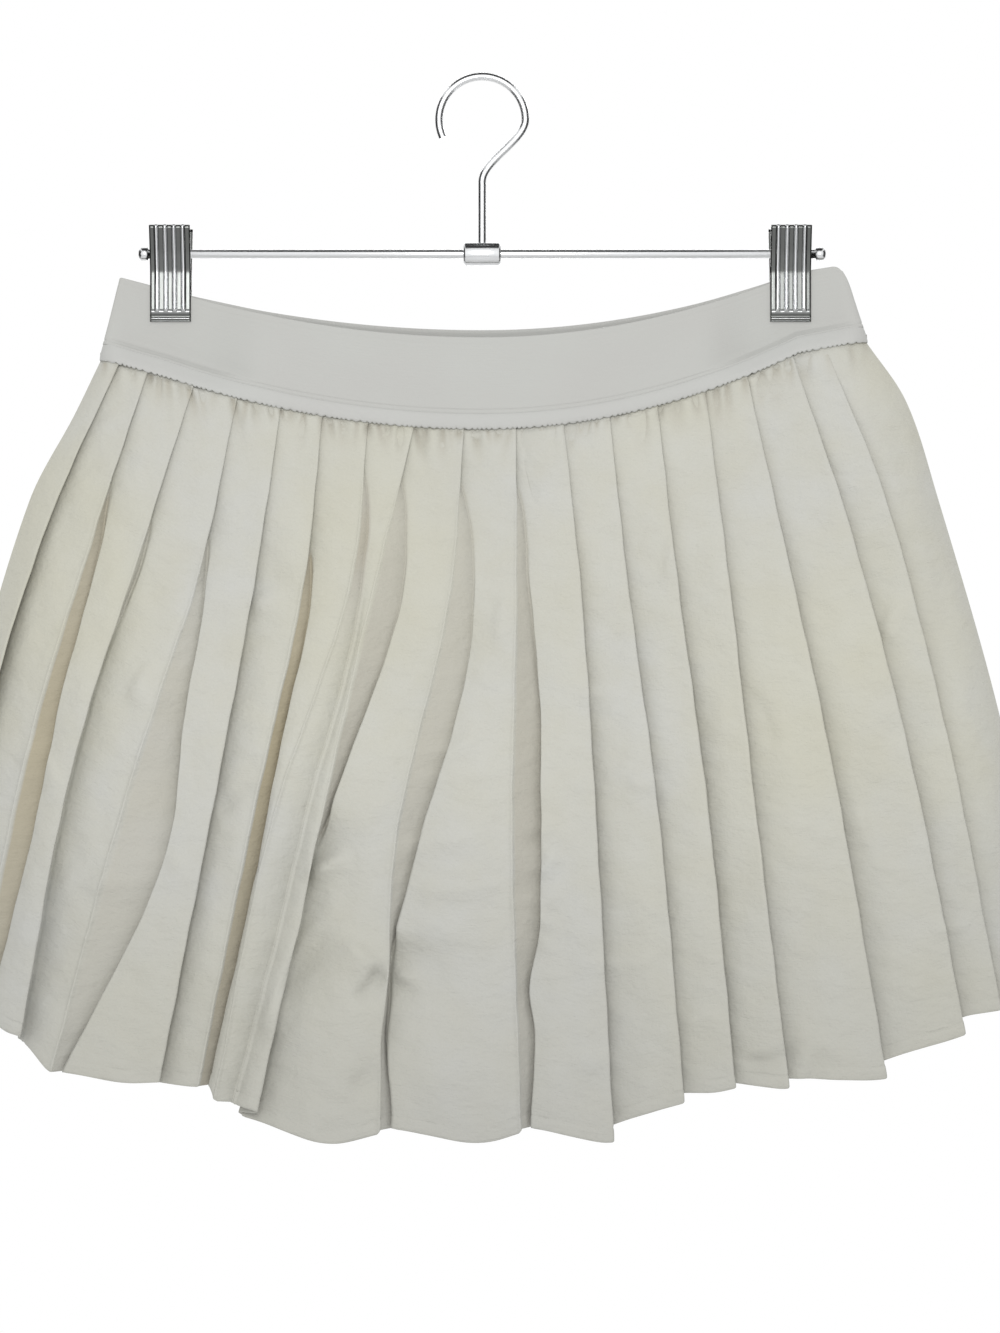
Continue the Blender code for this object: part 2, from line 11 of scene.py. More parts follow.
import bpy
import numpy as np
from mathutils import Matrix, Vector


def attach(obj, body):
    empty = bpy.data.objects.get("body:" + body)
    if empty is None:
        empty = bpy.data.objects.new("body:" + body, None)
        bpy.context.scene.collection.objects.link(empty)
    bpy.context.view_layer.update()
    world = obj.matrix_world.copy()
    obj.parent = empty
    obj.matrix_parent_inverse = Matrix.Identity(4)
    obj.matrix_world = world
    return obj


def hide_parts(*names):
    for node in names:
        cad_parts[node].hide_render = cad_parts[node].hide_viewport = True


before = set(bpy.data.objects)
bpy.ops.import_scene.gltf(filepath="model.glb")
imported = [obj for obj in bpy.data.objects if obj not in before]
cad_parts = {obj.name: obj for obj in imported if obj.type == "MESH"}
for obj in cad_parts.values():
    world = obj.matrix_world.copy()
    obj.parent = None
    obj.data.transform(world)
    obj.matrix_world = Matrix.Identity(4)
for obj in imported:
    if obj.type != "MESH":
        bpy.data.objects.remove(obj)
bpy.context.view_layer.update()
MM = 0.001

# ---- sizes, as the CAD has them
# (the pleats 3, 6 and 7 from the left stand up to 4 mm elsewhere)
GAP = 0.3
BAR_Z = -84.0
BAR_RADIUS = 2.1
BAR_HALF = 166.0
BOSS_RADIUS = 5.6
BOSS_HALF = 9.0
SOCKET_DEPTH = 3.0
HOOK_WIRE_RADIUS = 1.9
HOOK_BEND_RADIUS = 20.9
HOOK_NECK = 24.0
HOOK_NECK_EASE = 6.0
HOOK_OPEN_DEG = 205.0
CLIP_X = (-150.5, 149.0)
CLIP_WIDTH = 19.7
CLIP_FOOT = 53.0
CLIP_RIBS = 4
RIB_PITCH = 4.25
RIB_HALF = 1.15
CLIP_BAND_HALF = 2.45
CLIP_GRIP = 24.0
CLIP_TAB = 13.0
CLIP_TAB_OPENS = 4.0
SPRING_RADIUS = 4.1
SPRING_HALF = 7.0
SEAM_LOW_Z = BAR_Z - 86.0
BAND_WALL = 1.6
BAND_TOP_LOW = 45.0
BAND_TOP_RISE = (29.5, 40.0)
BINDING_TOP_LOW = 8.0
BINDING_TOP_RISE = (32.5, 46.5)
SEAM_RISE = (31.5, 46.0)
RISE_SPAN = 170.0
END_FLAT = 152.0
END_SLOPE = (0.85, 0.38)
BACK_LESS_SAG = 5.0
PINCH_HALF = 1.35
PINCH_MARGIN = 7.0
PINCH_REACH = 30.0
BAND_PINCHED = 0.88
BAND_OPENS = 0.65
FACE_BOW = 0.8
VALLEY_GROWS_BY = 0.5
LINE_AT = (0.0, 0.25, 0.6, 1.0)
GAP_AT = (0.0, 0.07, 0.25, 0.45, 0.7, 1.0)
LOOP_BAND_TOP = dict(left=-174.5, right=174.0, cap=7.0, end=3.2, bulge=4.6)
LOOP_BINDING_TOP = dict(left=-182.5, right=183.5, cap=9.0, end=7.6, bulge=3.6)
LOOP_SEAM = dict(left=-184.5, right=186.0, cap=11.0, end=9.6, bulge=3.0)
LOOP_AT = (0.0, 0.1, 0.25, 0.6, 1.0)
SKIRT_LOOP = dict(left=(-184.5, -197.5, -219.0, -250.0, -280.0),
                  right=(186.0, 205.0, 220.0, 251.0, 278.0),
                  cap=(11.0, 25.0, 45.0, 87.0, 120.0), end=(9.6, 14.0, 21.0, 34.0, 43.0),
                  bulge=(3.0, 4.0, 6.0, 10.0, 13.0))

# One row per front pleat, from the left.  waist, upper, lower, hem: x of the outer
# fold at LINE_AT.  gap_*: how far right of the fold the inner fold lies at the last
# four of GAP_AT (minus is hidden behind).  valley: depth of the pleat at the hem.
# lift: how far the fold stands out of its place.  belly: how much lower the middle
# of the face's hem hangs, and how far it bows out there.  drop, valley_drop: height
# of the hem below the seam's lowest point, at the outer and at the inner fold.
COLUMNS = ("waist", "upper", "lower", "hem", "gap_upper", "gap_middle", "gap_lower",
           "gap_hem", "valley", "lift", "belly", "drop", "valley_drop")
FOLD_LINE = COLUMNS[:4]
GAP_LINE = COLUMNS[4:8]
EDGE_TUCKS = (1.0, 8.0, 17.0)  # how far the first pleats tuck back at the waist
SIDE_RISE = 2.0  # hem beside the side seam, above its nearest pleat
SIDE_PLAIN = (0.4, 0.5)  # where the plain point between side seam and fold lies
FRONT_PLEATS = (
    (-175, -208, -240, -266, -8, -11, -12, -12, 12, 0, 0, 271, 270),
    (-161, -185, -216, -240, 3, 8, 12, 6, 15, 1, 0, 279, 278),
    (-139, -162, -194, -217, 2, -1, -2, -3, 12, 3, 1, 286, 290),
    (-118, -134, -168, -202, 3, 14, 27, 5, 15, 0, 0, 304, 303),
    (-97, -108, -127, -151, 0, -4, -7, -7, 12, 0, 1, 307, 308),
    (-77, -85, -108, -133, 3, 6, 7.5, 5.0, 16, -1, 0, 310, 309),
    (-55, -63, -98.5, -124.5, 5.5, 12, 14, 8, 7, 3, 0, 315, 318),
    (-33, -52, -77, -105, 13, 8, -3, -8, 14, 3, 1, 320, 323),
    (-9, -16, -41, -48, 11, 16, 8, 6, 15, 0, 5, 330, 328),
    (16, 16, 14, 18, 6, 13, 13, 5, 15, 1, 3, 328, 328),
    (39, 47, 54, 61, -10, -13, -13, -12, 13, 2, 1, 336, 330),
    (61, 69, 83, 94, -10, -13, -13, -13, 12, 0, 0, 317, 313),
    (84, 92, 106, 118, -6, -6, -6, -6, 12, -1, 0, 310, 308),
    (107, 116, 128, 143, -10, -13, -13, -13, 12, 1, 0, 311, 306),
    (127, 144, 167, 189, -10, -13, -13, -13, 13, 1, 1, 307, 301),
    (149, 174, 202, 227, -10, -13, -13, -13, 13, 1, 1, 287, 280),
    (165, 194, 221, 245, -6, -6, -6, -6, 11, 0, 0, 276, 274),
)

# The back panel's pleats, from its own left (seen from behind)
BACK_WAIST = (-175.0, 172.0)
BACK_HEM_START = -262.0
BACK_HEM_PITCH = (27, 34, 29, 38, 26, 41, 33, 28, 44, 31, 36, 27, 39, 30, 35, 22)
BACK_GAPS = (-8, 3, -8, -12, -13, 6, -8, -13, -12, 8, -6, -13, 5, -9, -13, -12, -3)
BACK_VALLEYS = (12, 15, 12, 13, 15)
BACK_LIFTS = (0, 1, -1, 2, 0, 1)
BACK_BELLIES = (0, 1, 0, 3, 0, 0, 2)
BACK_DROP = 334.0
BACK_VALLEY_RISE = 4.0
BACK_RISE = 62.0
BACK_RISE_AT = 250.0
BACK_RISE_POWER = 2.2
BACK_FAN = (0.32, 0.63)  # share of a fold's spread reached at the inner LINE_AT
BACK_GAP_FAN = (0.6, 1.0, 1.0, 0.8)  # share of the pleat's gap at the last four of GAP_AT

# ---- sizes of the fine shells
# Shares are of the way down from the seam to the hem.
WAIST_VALLEY = 1.5  # pleat depth at the waist
DEPTH_POWER = 1.25  # how slowly the pleats deepen below the seam
OPEN_VALLEY = 7.0  # most depth of a pleat that stands open
CLOSED_DEPTH = 0.72  # share of its depth kept by one that stays closed
DEPTH_GAP = 5.0  # gap that gives all of the open depth
OPENS_HIGH = 5.0  # pleats with a wider upper gap open at the seam
HIGH_GAP = -1.0  # their gap there
HIGH_SHARE = 0.28  # the others' gap there, from tuck to upper gap
SIDE_DROPS = (266.0, 270.0)  # how low the side seams end, left and right
LIP_DEPTH = 2.2  # depth of an open pleat's far edge
LIP_OVER = 1.6  # how far it hangs over the bottom
LIP_GAP = 4.0  # gap at which it stands clear
SHUT_STEP = 2.0  # its place past the inner fold in a shut pleat
FOLD_WOBBLE = 0.12  # how far a fold line strays
STRAYS = ((1.0, 41, 2.4), (0.8, 83, 4.1))  # in waves: size, rate, shift per pleat
STRAY_FROM = 0.1  # grown by this share
BESIDE_LEAF = 0.12  # painted shade on the cloth beside an overlying leaf
BESIDE_REACH = 4.0  # and over what width
BESIDE_FROM = 0.15  # grown by this share
FOLD_OPEN = (0.8, 1.5)  # a fold's width at the waist and from FOLD_OPEN_BY down
FOLD_OPEN_BY = 0.25
COVERED = (0.04, 0.62)  # least and most of a face that the next leaf covers
HIDDEN_STEPS = 2  # columns over that part
FACE_STEPS = 21  # columns over the part that shows
FOLD_STEPS = 3  # columns round a fold
UNDER_PARTS = (0.1, 1.0)  # columns under a leaf, in shares
SLIT_WIDTH = 5.9  # mean gap with the deepest shade
SLIT_SPREAD = 2.6  # how fast it falls off
SLIT_LEAST = 0.25  # and how far
SHADE_GAP = 1.5  # gap that gives a bottom's whole shade
SHADE_POWER = 0.3  # how fast it grows below the seam
SOFT_VALLEY = 8.0  # shallower pleats are soft bends, shaded high up
SOFT_DEPTH = 0.22  # share of the depth they keep
SOFT_SHADE = 0.8
SOFT_SHADE_AT = 0.17
SOFT_SHADE_REACH = 0.10
TOP_INSET = 0.5  # how far the cloth runs in behind the binding
INSET_REACH = 0.006  # it is out again by this share
HEM_ROUND = 30  # passes that round the hem's corners
HEM_ROUND_FROM = 0.5  # from this share on
SKIRT_LENGTH = 345  # for distances below the seam
SIDE_CALM = 14.0  # relief dies out this near a side seam
WAVES = ((1.1, 95.0, 1.0), (0.5, 38.0, 0.6), (0.24, 15.0, 0.8))  # height, length, stretch
WAVES_FROM = 0.12  # grown by this share
GATHERS = (1.3, 9.0, 0.3)  # the same, at the seam
GATHERS_FROM = 3.0  # grown this far below it
GATHERS_FADE = 10.0  # and gone over this length

# Puckers under the binding: each is drawn between limits of depth, width, length, lean
PUCKERS = ((0.4, 1.7), (0.9, 1.6), (4, 15), (-0.25, 0.25))
PUCKER_PITCH = (3.0, 8.5)
PUCKER_FIRST = 3.0  # from the side seam
PUCKER_WIDENS = 0.08  # per millimetre down
PUCKER_TOP = (0.3, 1.2)  # start above the seam, and length they grow over
PUCKER_GAIN = 1.5
# painted shade in the troughs
PUCKER_SHADE = 0.5

HEM_DEPTH = 6.2  # turned hem
HEM_BACK = 0.55  # its distance behind the face
STITCH_GROOVE = 0.22  # its line of stitches
STITCH_WIDTH = 0.55
HEM_CROWN = 0.12  # how far the double cloth stands out
TOP_TUCK = 4.0  # cloth that runs up behind the binding
TOP_ROWS = ((TOP_TUCK, 0.9), (TOP_TUCK / 2, 1.8))  # rise above the seam, inset
HEM_ROWS = (  # the turned hem: way back, rise above the edge, place along it
    (0.2, -0.18, -0.2),
    (0.4, -0.12, -0.2),
    (HEM_BACK, 0.15, 0.3),
    (HEM_BACK, HEM_DEPTH * 0.5, 3.0),
    (HEM_BACK * 0.8, HEM_DEPTH, 6.0),
)


def smooth_through(places, values, at):
    """A smooth line through (place, value) pairs, read at one place."""
    last = len(places) - 1
    index = 0
    while index < last - 1 and at > places[index + 1]:
        index += 1

    def slope(i):
        low, high = max(i - 1, 0), min(i + 1, last)
        return (values[high] - values[low]) / (places[high] - places[low])

    span = places[index + 1] - places[index]
    s = (at - places[index]) / span
    a, b = values[index], values[index + 1]
    da, db = slope(index) * span, slope(index + 1) * span
    return (a * (1 + 2 * s) * (1 - s) ** 2 + da * s * (1 - s) ** 2
            + b * s * s * (3 - 2 * s) + db * s * s * (s - 1))


def ease(s):
    s = np.clip(s, 0.0, 1.0)
    return s * s * (3 - 2 * s)


def mix(a, b, s):
    return a + (b - a) * s


def edge_height(x, low, rise, back):
    """Height of a sagging edge above the seam's lowest point, at world x."""
    x = np.asarray(x, float)
    scale = np.where(x < 0, rise[0], rise[1])
    kept = np.where(x < 0, *END_SLOPE)
    reach = np.minimum(np.abs(x), END_FLAT)
    height = scale * (reach / RISE_SPAN) ** 2
    slope = 2 * scale * END_FLAT / RISE_SPAN ** 2
    height = height + slope * kept * np.maximum(np.abs(x) - END_FLAT, 0)
    if back:
        height = height + BACK_LESS_SAG * np.maximum(0.0, 1 - (x / END_FLAT) ** 2)
    return low + height


def outward(x, y):
    """Unit normals along a line seen from above, straight to the side at its ends."""
    dx, dy = np.gradient(x), np.gradient(y)
    dx[0] = dx[-1] = 0.0
    dy[0], dy[-1] = -1.0, 1.0
    length = np.maximum(np.hypot(dx, dy), 1e-9)
    return dy / length, -dx / length


class HalfLoop:
    """The front half of a closed loop seen from above.  turn = -1 gives the back
    half, in the frame turned half round."""

    STEPS = 480

    def __init__(self, loop, turn):
        left, right = loop["left"], loop["right"]
        if turn < 0:
            left, right = -right, -left
        self.left, self.right = left, right
        middle, half = (left + right) / 2, (right - left) / 2
        across = -np.cos(math.pi * np.arange(self.STEPS + 1) / self.STEPS)
        inset = np.maximum(0.0, (np.abs(half * across) - (half - loop["cap"])) / loop["cap"])
        body = loop["end"] + loop["bulge"] * (1 - across * across)
        depth = body * np.sqrt(np.maximum(0.0, 1 - inset * inset))
        self.x = middle + half * across
        self.y = -depth
        self.nx, self.ny = outward(self.x, self.y)

    def frame_at(self, x, out):
        """Place and outward direction where a point standing `out` proud has x."""
        proud = self.x + self.nx * out
        place = np.array([np.interp(x, proud, self.x), np.interp(x, proud, self.y)])
        normal = np.array([np.interp(x, proud, self.nx), np.interp(x, proud, self.ny)])
        return place, normal / np.hypot(*normal)


def skirt_loop(share):
    return {key: smooth_through(LOOP_AT, values, share) for key, values in SKIRT_LOOP.items()}


def back_pleats():
    """The back panel's rows, in the same columns as the front's."""
    rows = []
    hem = BACK_HEM_START
    for k, pitch in enumerate((*BACK_HEM_PITCH, 0)):
        waist = mix(*BACK_WAIST, k / len(BACK_HEM_PITCH))
        gap = BACK_GAPS[k % len(BACK_GAPS)]
        drop = BACK_DROP - BACK_RISE * (abs(hem) / BACK_RISE_AT) ** BACK_RISE_POWER
        rows.append((waist, *(mix(waist, hem, share) for share in BACK_FAN), hem,
                     *(gap * share for share in BACK_GAP_FAN),
                     BACK_VALLEYS[k % len(BACK_VALLEYS)], BACK_LIFTS[k % len(BACK_LIFTS)],
                     BACK_BELLIES[k % len(BACK_BELLIES)], drop, drop - BACK_VALLEY_RISE))
        hem += pitch
    return rows


# Local bends of single folds.  pleat: counted from the left.  at, reach: place down
# the skirt and how far the bend spreads, as shares.  fold, gap: millimetres added to
# the fold's x and to its gap there.  Pleats count from 0 here and in the tips.
BEND_COLUMNS = ("pleat", "at", "reach", "fold", "gap")
FRONT_BENDS = (
    (8, 0.765, 0.075, 1.6, -6.0),
    (8, 0.88, 0.07, -1.0, -3.6),
    (9, 0.80, 0.05, 0.0, -4.0),
    (7, 0.74, 0.06, 0.8, 4.0),
    (3, 0.30, 0.05, 0.5, -1.5),
)
BACK_BENDS = (
    (5, 0.6, 0.08, 1.5, -3.0),
    (9, 0.8, 0.06, -1.2, -5.0),
    (12, 0.45, 0.07, 1.0, 2.0),
)

# Where a leaf's lower edge hangs lowest: the leaf that ends at this pleat, how far
# across it the tip lies, and how far the tip hangs below.
FRONT_TIPS = ((2, 0.7, 2.0), (4, 0.7, 3.0), (8, 0.68, 11.0), (9, 0.79, 10.0), (12, 0.8, 2.0))
BACK_TIPS = ((4, 0.7, 7.0), (8, 0.74, 9.0), (11, 0.66, 6.0), (14, 0.75, 3.0))
NO_TIP = (0.5, 0.0)
HEM_TIP_POWER = 5  # how late down the skirt a tip grows


def bend_of(bends, k, share):
    """What the bends add to fold k's x and to its gap, at a share down."""
    fold = gap = 0.0
    for row in bends:
        bend = dict(zip(BEND_COLUMNS, row))
        if bend["pleat"] == k:
            weight = math.exp(-((share - bend["at"]) / bend["reach"]) ** 2)
            fold += bend["fold"] * weight
            gap += bend["gap"] * weight
    return fold, gap


def arc(a, tip, b, steps):
    """Points round a fold from a over tip to b, without the first."""
    points = []
    for i in range(1, steps + 1):
        angle = math.pi * i / steps
        middle, half = (a + b) / 2, (a - b) / 2
        points.append(middle + half * math.cos(angle) + tip * math.sin(angle))
    return points


Node = namedtuple("Node", "place normal kind z shade")
PLAIN, OUTER, INNER, LIP = 0, -1, 1, 2  # kinds of node: a face, two folds, a far edge


def fold_line(k, pleat, bends, share):
    """x of pleat k's outer fold, and what its bends add to its gap."""
    fold, gap = bend_of(bends, k, share)
    x = smooth_through(LINE_AT, [pleat[c] for c in FOLD_LINE], share) + fold
    stray = sum(size * math.sin(share * rate + k * shift) for size, rate, shift in STRAYS)
    return x + FOLD_WOBBLE * stray * min(1.0, share / STRAY_FROM), gap


def pleat_shade(gaps, gap, soft, share, grown):
    """Painted shade of a pleat's bottom, for the cloth's colour.  gaps are its own, gap is the one
    at this share.
    """
    if soft:
        shade = SOFT_SHADE * math.exp(-((share - SOFT_SHADE_AT) / SOFT_SHADE_REACH) ** 2)
    else:
        slit = sum(gaps) / len(gaps)
        shade = SLIT_LEAST + (1 - SLIT_LEAST) * math.exp(-((slit - SLIT_WIDTH) / SLIT_SPREAD) ** 2)
    return shade * (float(ease(gap / SHADE_GAP)) * grown ** SHADE_POWER)


def row_nodes(pleats, bends, hem_tips, share, turn):
    """The nodes of one row from side seam to side seam, then by node: how open the
    pleat before a face is, and where the hem's tip hangs on it."""
    loop = HalfLoop(skirt_loop(share), turn)
    grown = min(share / VALLEY_GROWS_BY, 1.0) ** DEPTH_POWER
    nodes, open_at, tips = [], {}, {}

    def height(x_waist, drop):
        top = float(edge_height(x_waist * turn, 0.0, SEAM_RISE, turn < 0))
        return mix(top, -drop, share)

    def side(end, k, part):
        pleat = pleats[k]
        if part:
            x, _ = fold_line(k, pleat, bends, share)
            place, normal = loop.frame_at(mix(end, x, part), 0.0)
            drop = pleat["drop"] - SIDE_RISE
        else:
            place, normal = np.array([end, -GAP / 2]), np.array([math.copysign(1, end), 0.0])
            drop = SIDE_DROPS[int(end * turn > 0)]
        nodes.append(Node(place, normal, PLAIN, height(mix(end, pleat["waist"], part), drop), 0.0))

    side(loop.left, 0, 0.0)
    side(loop.left, 0, SIDE_PLAIN[0])
    for k, pleat in enumerate(pleats):
        x, gap_more = fold_line(k, pleat, bends, share)
        tuck = EDGE_TUCKS[k] if k < len(EDGE_TUCKS) else pleat["waist"] - pleats[k - 1]["waist"]
        gaps = [pleat[c] for c in GAP_LINE]
        opens_high = pleat["gap_upper"] > OPENS_HIGH
        high = HIGH_GAP if opens_high else mix(-tuck, pleat["gap_upper"], HIGH_SHARE)
        gap = smooth_through(GAP_AT, [-tuck, high] + gaps, share) + gap_more
        soft = pleat["valley"] < SOFT_VALLEY
        deepest = mix(pleat["valley"] * CLOSED_DEPTH, min(pleat["valley"], OPEN_VALLEY),
                      float(ease(gap / DEPTH_GAP)))
        valley = mix(WAIST_VALLEY, deepest * (SOFT_DEPTH if soft else 1.0), grown)
        inset = TOP_INSET * (1 - float(ease(share / INSET_REACH)))
        out = valley / 2 + pleat["lift"] * grown - inset
        place, normal = loop.frame_at(x, out)
        outer = place + normal * out
        tangent = np.array([-normal[1], normal[0]])
        open_now = 0.0 if soft else float(ease(gap / LIP_GAP)) * grown
        inner = outer + tangent * gap - normal * valley + tangent * LIP_OVER * open_now
        if k:
            belly = pleat["belly"] * share ** 2
            middle = (nodes[-1].place + outer) / 2 + normal * (FACE_BOW * grown + belly)
            z = (nodes[-1].z + height(pleat["waist"], pleat["drop"])) / 2 - belly
            nodes.append(Node(middle, normal, PLAIN, z, 0.0))
            tips[len(nodes) - 1] = next((tip[1:] for tip in hem_tips if tip[0] == k), NO_TIP)
        nodes.append(Node(outer, normal, OUTER, height(pleat["waist"], pleat["drop"]), 0.0))
        z = height(pleat["waist"] - tuck, pleat["valley_drop"])
        nodes.append(Node(inner, normal, INNER, z, pleat_shade(gaps, gap, soft, share, grown)))
        shut = inner + tangent * SHUT_STEP
        lip = outer + tangent * gap - normal * min(LIP_DEPTH, valley)
        nodes.append(Node(mix(shut, lip, open_now), normal, LIP, z, 0.0))
        open_at[len(nodes) - 1] = open_now
    side(loop.right, len(pleats) - 1, SIDE_PLAIN[1])
    side(loop.right, len(pleats) - 1, 0.0)
    return nodes, open_at, tips


def fold_ends(nodes, opened):
    """By node: where the rounding of its fold starts and ends, and its reach."""
    ends = {}
    for i, node in enumerate(nodes):
        if node.kind not in (OUTER, INNER):
            continue
        before, after = nodes[i - 1].place - node.place, nodes[i + 1].place - node.place
        before, after = before / np.hypot(*before), after / np.hypot(*after)
        inward = before + after
        length = np.hypot(*inward)
        inward = inward / length if length > 1e-6 else -node.normal * node.kind
        sideways = np.array([-inward[1], inward[0]])
        if sideways @ (before - after) < 0:
            sideways = -sideways
        half = sideways * opened / 2
        ends[i] = (node.place + half, node.place - half, -inward * opened / 2)
    return ends


def panel_row(pleats, bends, hem_tips, share, turn):
    """One row of a panel: points (x, y, z), and the painted shade at each, 0 to 1."""
    nodes, open_at, tips = row_nodes(pleats, bends, hem_tips, share, turn)
    ends = fold_ends(nodes, mix(*FOLD_OPEN, min(share / FOLD_OPEN_BY, 1.0)))
    points, shades = [], []

    def add(place, z, shade):
        points.append((place[0], place[1], z))
        shades.append(shade)

    start, z_start, shade_start = nodes[0].place, nodes[0].z, nodes[0].shade
    add(start, z_start, shade_start)
    i = 1
    while i < len(nodes):
        face = nodes[i].kind == PLAIN and i + 1 < len(nodes)
        stop = i + 1 if face else i
        target = nodes[stop]
        goal = ends[stop][0] if stop in ends else target.place
        leaf = nodes[i - 3].place[0] if face and i > 2 else None   # edge that lies over the face
        parts, bend = UNDER_PARTS, (start + goal) / 2
        if face:
            covered = COVERED[0]
            if leaf is not None:
                covered = (leaf - start[0]) / (goal[0] - start[0])
                covered = min(max(covered, COVERED[0]), COVERED[1])
            parts = np.concatenate([np.linspace(0, covered, HIDDEN_STEPS + 1)[1:],
                                    np.linspace(covered, 1, FACE_STEPS + 1)[1:]])
            bend = 2 * nodes[i].place - bend
        for t in parts:
            place = start * (1 - t) ** 2 + bend * 2 * t * (1 - t) + goal * t * t
            shade = target.shade if target.kind == INNER else mix(shade_start, target.shade, t)
            # painted shade on the cloth just past an overlying leaf's edge
            if leaf is not None:
                past = max(place[0] - leaf, 0.0) / BESIDE_REACH
                closed = (1 - open_at[i - 1]) * min(1.0, share / BESIDE_FROM)
                shade = BESIDE_LEAF * math.exp(-past ** 2) * closed
            z = mix(z_start, target.z, t)
            if i in tips:
                at, drop = tips[i]
                z -= drop * share ** HEM_TIP_POWER * min(t / at, (1 - t) / (1 - at))
            add(place, z, shade)
        start, z_start, shade_start = goal, target.z, target.shade
        if stop in ends:
            a, b, tip = ends[stop]
            for place in arc(a, tip, b, FOLD_STEPS):
                add(place, z_start, shade_start)
            start = b
        i = stop + 1
    return np.array(points), np.array(shades)


def grid_normals(grid):
    """Unit normals of a grid of points, rows down and columns to the right."""
    down = np.gradient(grid, axis=0)
    right = np.gradient(grid, axis=1)
    normals = np.cross(down, right)
    length = np.linalg.norm(normals, axis=2, keepdims=True)
    return normals / np.maximum(length, 1e-9)


def grid_faces(rows, columns):
    index = np.arange(rows * columns).reshape(rows, columns)
    return np.stack([index[:-1, :-1], index[1:, :-1], index[1:, 1:], index[:-1, 1:]],
                    axis=2).reshape(-1, 4)


def add_object(name, data):
    thing = bpy.data.objects.new(name, data)
    bpy.context.collection.objects.link(thing)
    return thing


def make_object(name, points, faces, finish, uv=None, values=None, smooth=True):
    """A mesh piece from points in millimetres.  uv is in millimetres too; values
    holds named numbers per point."""
    mesh = bpy.data.meshes.new(name)
    mesh.from_pydata((np.asarray(points) * MM).tolist(), [], np.asarray(faces).tolist())
    mesh.update()
    loops = np.zeros(len(mesh.loops), np.int32)
    mesh.loops.foreach_get("vertex_index", loops)
    if uv is not None:
        layer = mesh.uv_layers.new(name="UVMap")
        layer.data.foreach_set("uv", (np.asarray(uv) * MM)[loops].astype(np.float32).ravel())
    for key, numbers in (values or {}).items():
        attribute = mesh.attributes.new(key, "FLOAT", "POINT")
        attribute.data.foreach_set("value", np.asarray(numbers, np.float32).ravel())
    if smooth:
        mesh.shade_smooth()
    mesh.materials.append(finish)
    return add_object(name, mesh)


# Creases, listed one by one.  x, down: middle of the crease from the hanger's centre line
# and below the seam's lowest point.  length, angle: degrees from level, rising to
# the right.  width: of the sharp side.  height: how far it stands proud (minus is
# a trough).  bow: how far its middle bends up.
CREASE_COLUMNS = ("x", "down", "length", "angle", "width", "height", "bow")
FRONT_CREASES = (
    (-11, 151, 22, 30, 2.2, 0.9, 1),
    (-9, 165, 30, 4, 2.0, 0.5, 1),
    (-8, 216, 36, 3, 2.2, 0.8, -1),
    (-6, 211, 14, -10, 1.8, 0.5, 1),
    (56, 125, 20, 8, 2.5, 0.6, 1),
    (-102, 82, 16, 20, 2.5, 0.7, 1),
    (-71, 206, 20, 28, 2.2, 1.1, 1),
    (-56, 305, 14, 55, 2.5, -0.8, 0),
    (78, 168, 16, 10, 2.0, 0.5, 1),
    (69, 250, 26, 6, 2.2, 0.6, -1),
    (134, 138, 24, -70, 2.4, -0.5, 1),
    (136, 294, 26, 20, 2.6, -0.9, -3),
    (156, 302, 18, 70, 3.5, -1.0, 0),
    (221, 235, 20, 8, 2.0, 0.6, 0),
    (105, 278, 22, 12, 2.4, 0.5, 1),
    (-45, 40, 16, 60, 3.0, -0.5, 0),
    (28, 210, 14, 50, 2.0, 0.9, 1),
    (33, 202, 12, -35, 2.0, 0.8, 0),
    (29, 222, 16, 20, 2.2, 0.8, 0),
    (-46, 256, 12, 10, 2.5, -1.4, 0),
    (-160, 120, 22, 60, 3.0, 0.8, 1),
    (-205, 160, 24, -62, 3.0, 0.8, 0),
    (-140, 210, 20, -50, 2.6, 0.6, 1),
    (196, 90, 24, 68, 3.0, 0.7, 1),
    (180, 190, 20, -75, 2.8, 0.6, 0),
    (10, 90, 26, 80, 3.2, 0.6, 1),
    (90, 60, 22, 78, 3.0, 0.6, 0),
    (-55, 250, 20, -42, 3.2, 1.6, 1),
    (-52, 262, 18, 48, 2.4, -1.3, 0),
    (-38, 257, 18, -8, 2.6, 1.2, -1),
    (-36, 264, 14, -28, 2.2, -0.9, 0),
    (-84, 254, 40, 52, 4.0, -1.5, 0),
    (-96, 270, 26, 64, 3.2, 1.1, 1),
    (-73, 206, 20, 16, 2.0, 0.8, 0),
    (-20, 196, 40, 8, 2.6, 0.7, 1),
    (27, 190, 12, 62, 2.2, 1.2, 0),
    (24, 214, 14, 24, 2.0, -1.0, 0),
    (30, 232, 12, -30, 2.2, 0.9, 0),
    (22, 246, 12, 40, 2.2, -0.9, 0),
    (-115, 176, 18, 32, 2.6, -0.8, 1),
    (-176, 214, 20, 20, 2.8, 0.7, 0),
    (52, 296, 24, 16, 2.6, 0.7, 1),
)
BACK_CREASES = (
    (-190, 120, 24, 60, 2.6, 0.8, 1),
    (-150, 210, 22, 12, 2.2, 0.7, 1),
    (-120, 80, 18, 40, 2.4, 0.7, 0),
    (-92, 262, 24, -8, 2.2, 0.8, -1),
    (-60, 150, 28, 5, 2.0, 0.7, 1),
    (-31, 228, 20, 30, 2.2, 0.9, 0),
    (5, 118, 18, -24, 2.4, 0.6, 1),
    (12, 284, 26, 8, 2.4, 0.8, 1),
    (44, 190, 22, 42, 2.2, 0.7, 1),
    (71, 90, 20, 65, 2.6, 0.6, 0),
    (88, 246, 24, -12, 2.2, 0.8, -1),
    (122, 156, 22, 10, 2.0, 0.6, 1),
    (150, 262, 20, 52, 2.6, -0.9, 0),
    (176, 118, 24, -64, 2.8, 0.8, 1),
    (205, 206, 22, 14, 2.2, 0.6, 0),
)
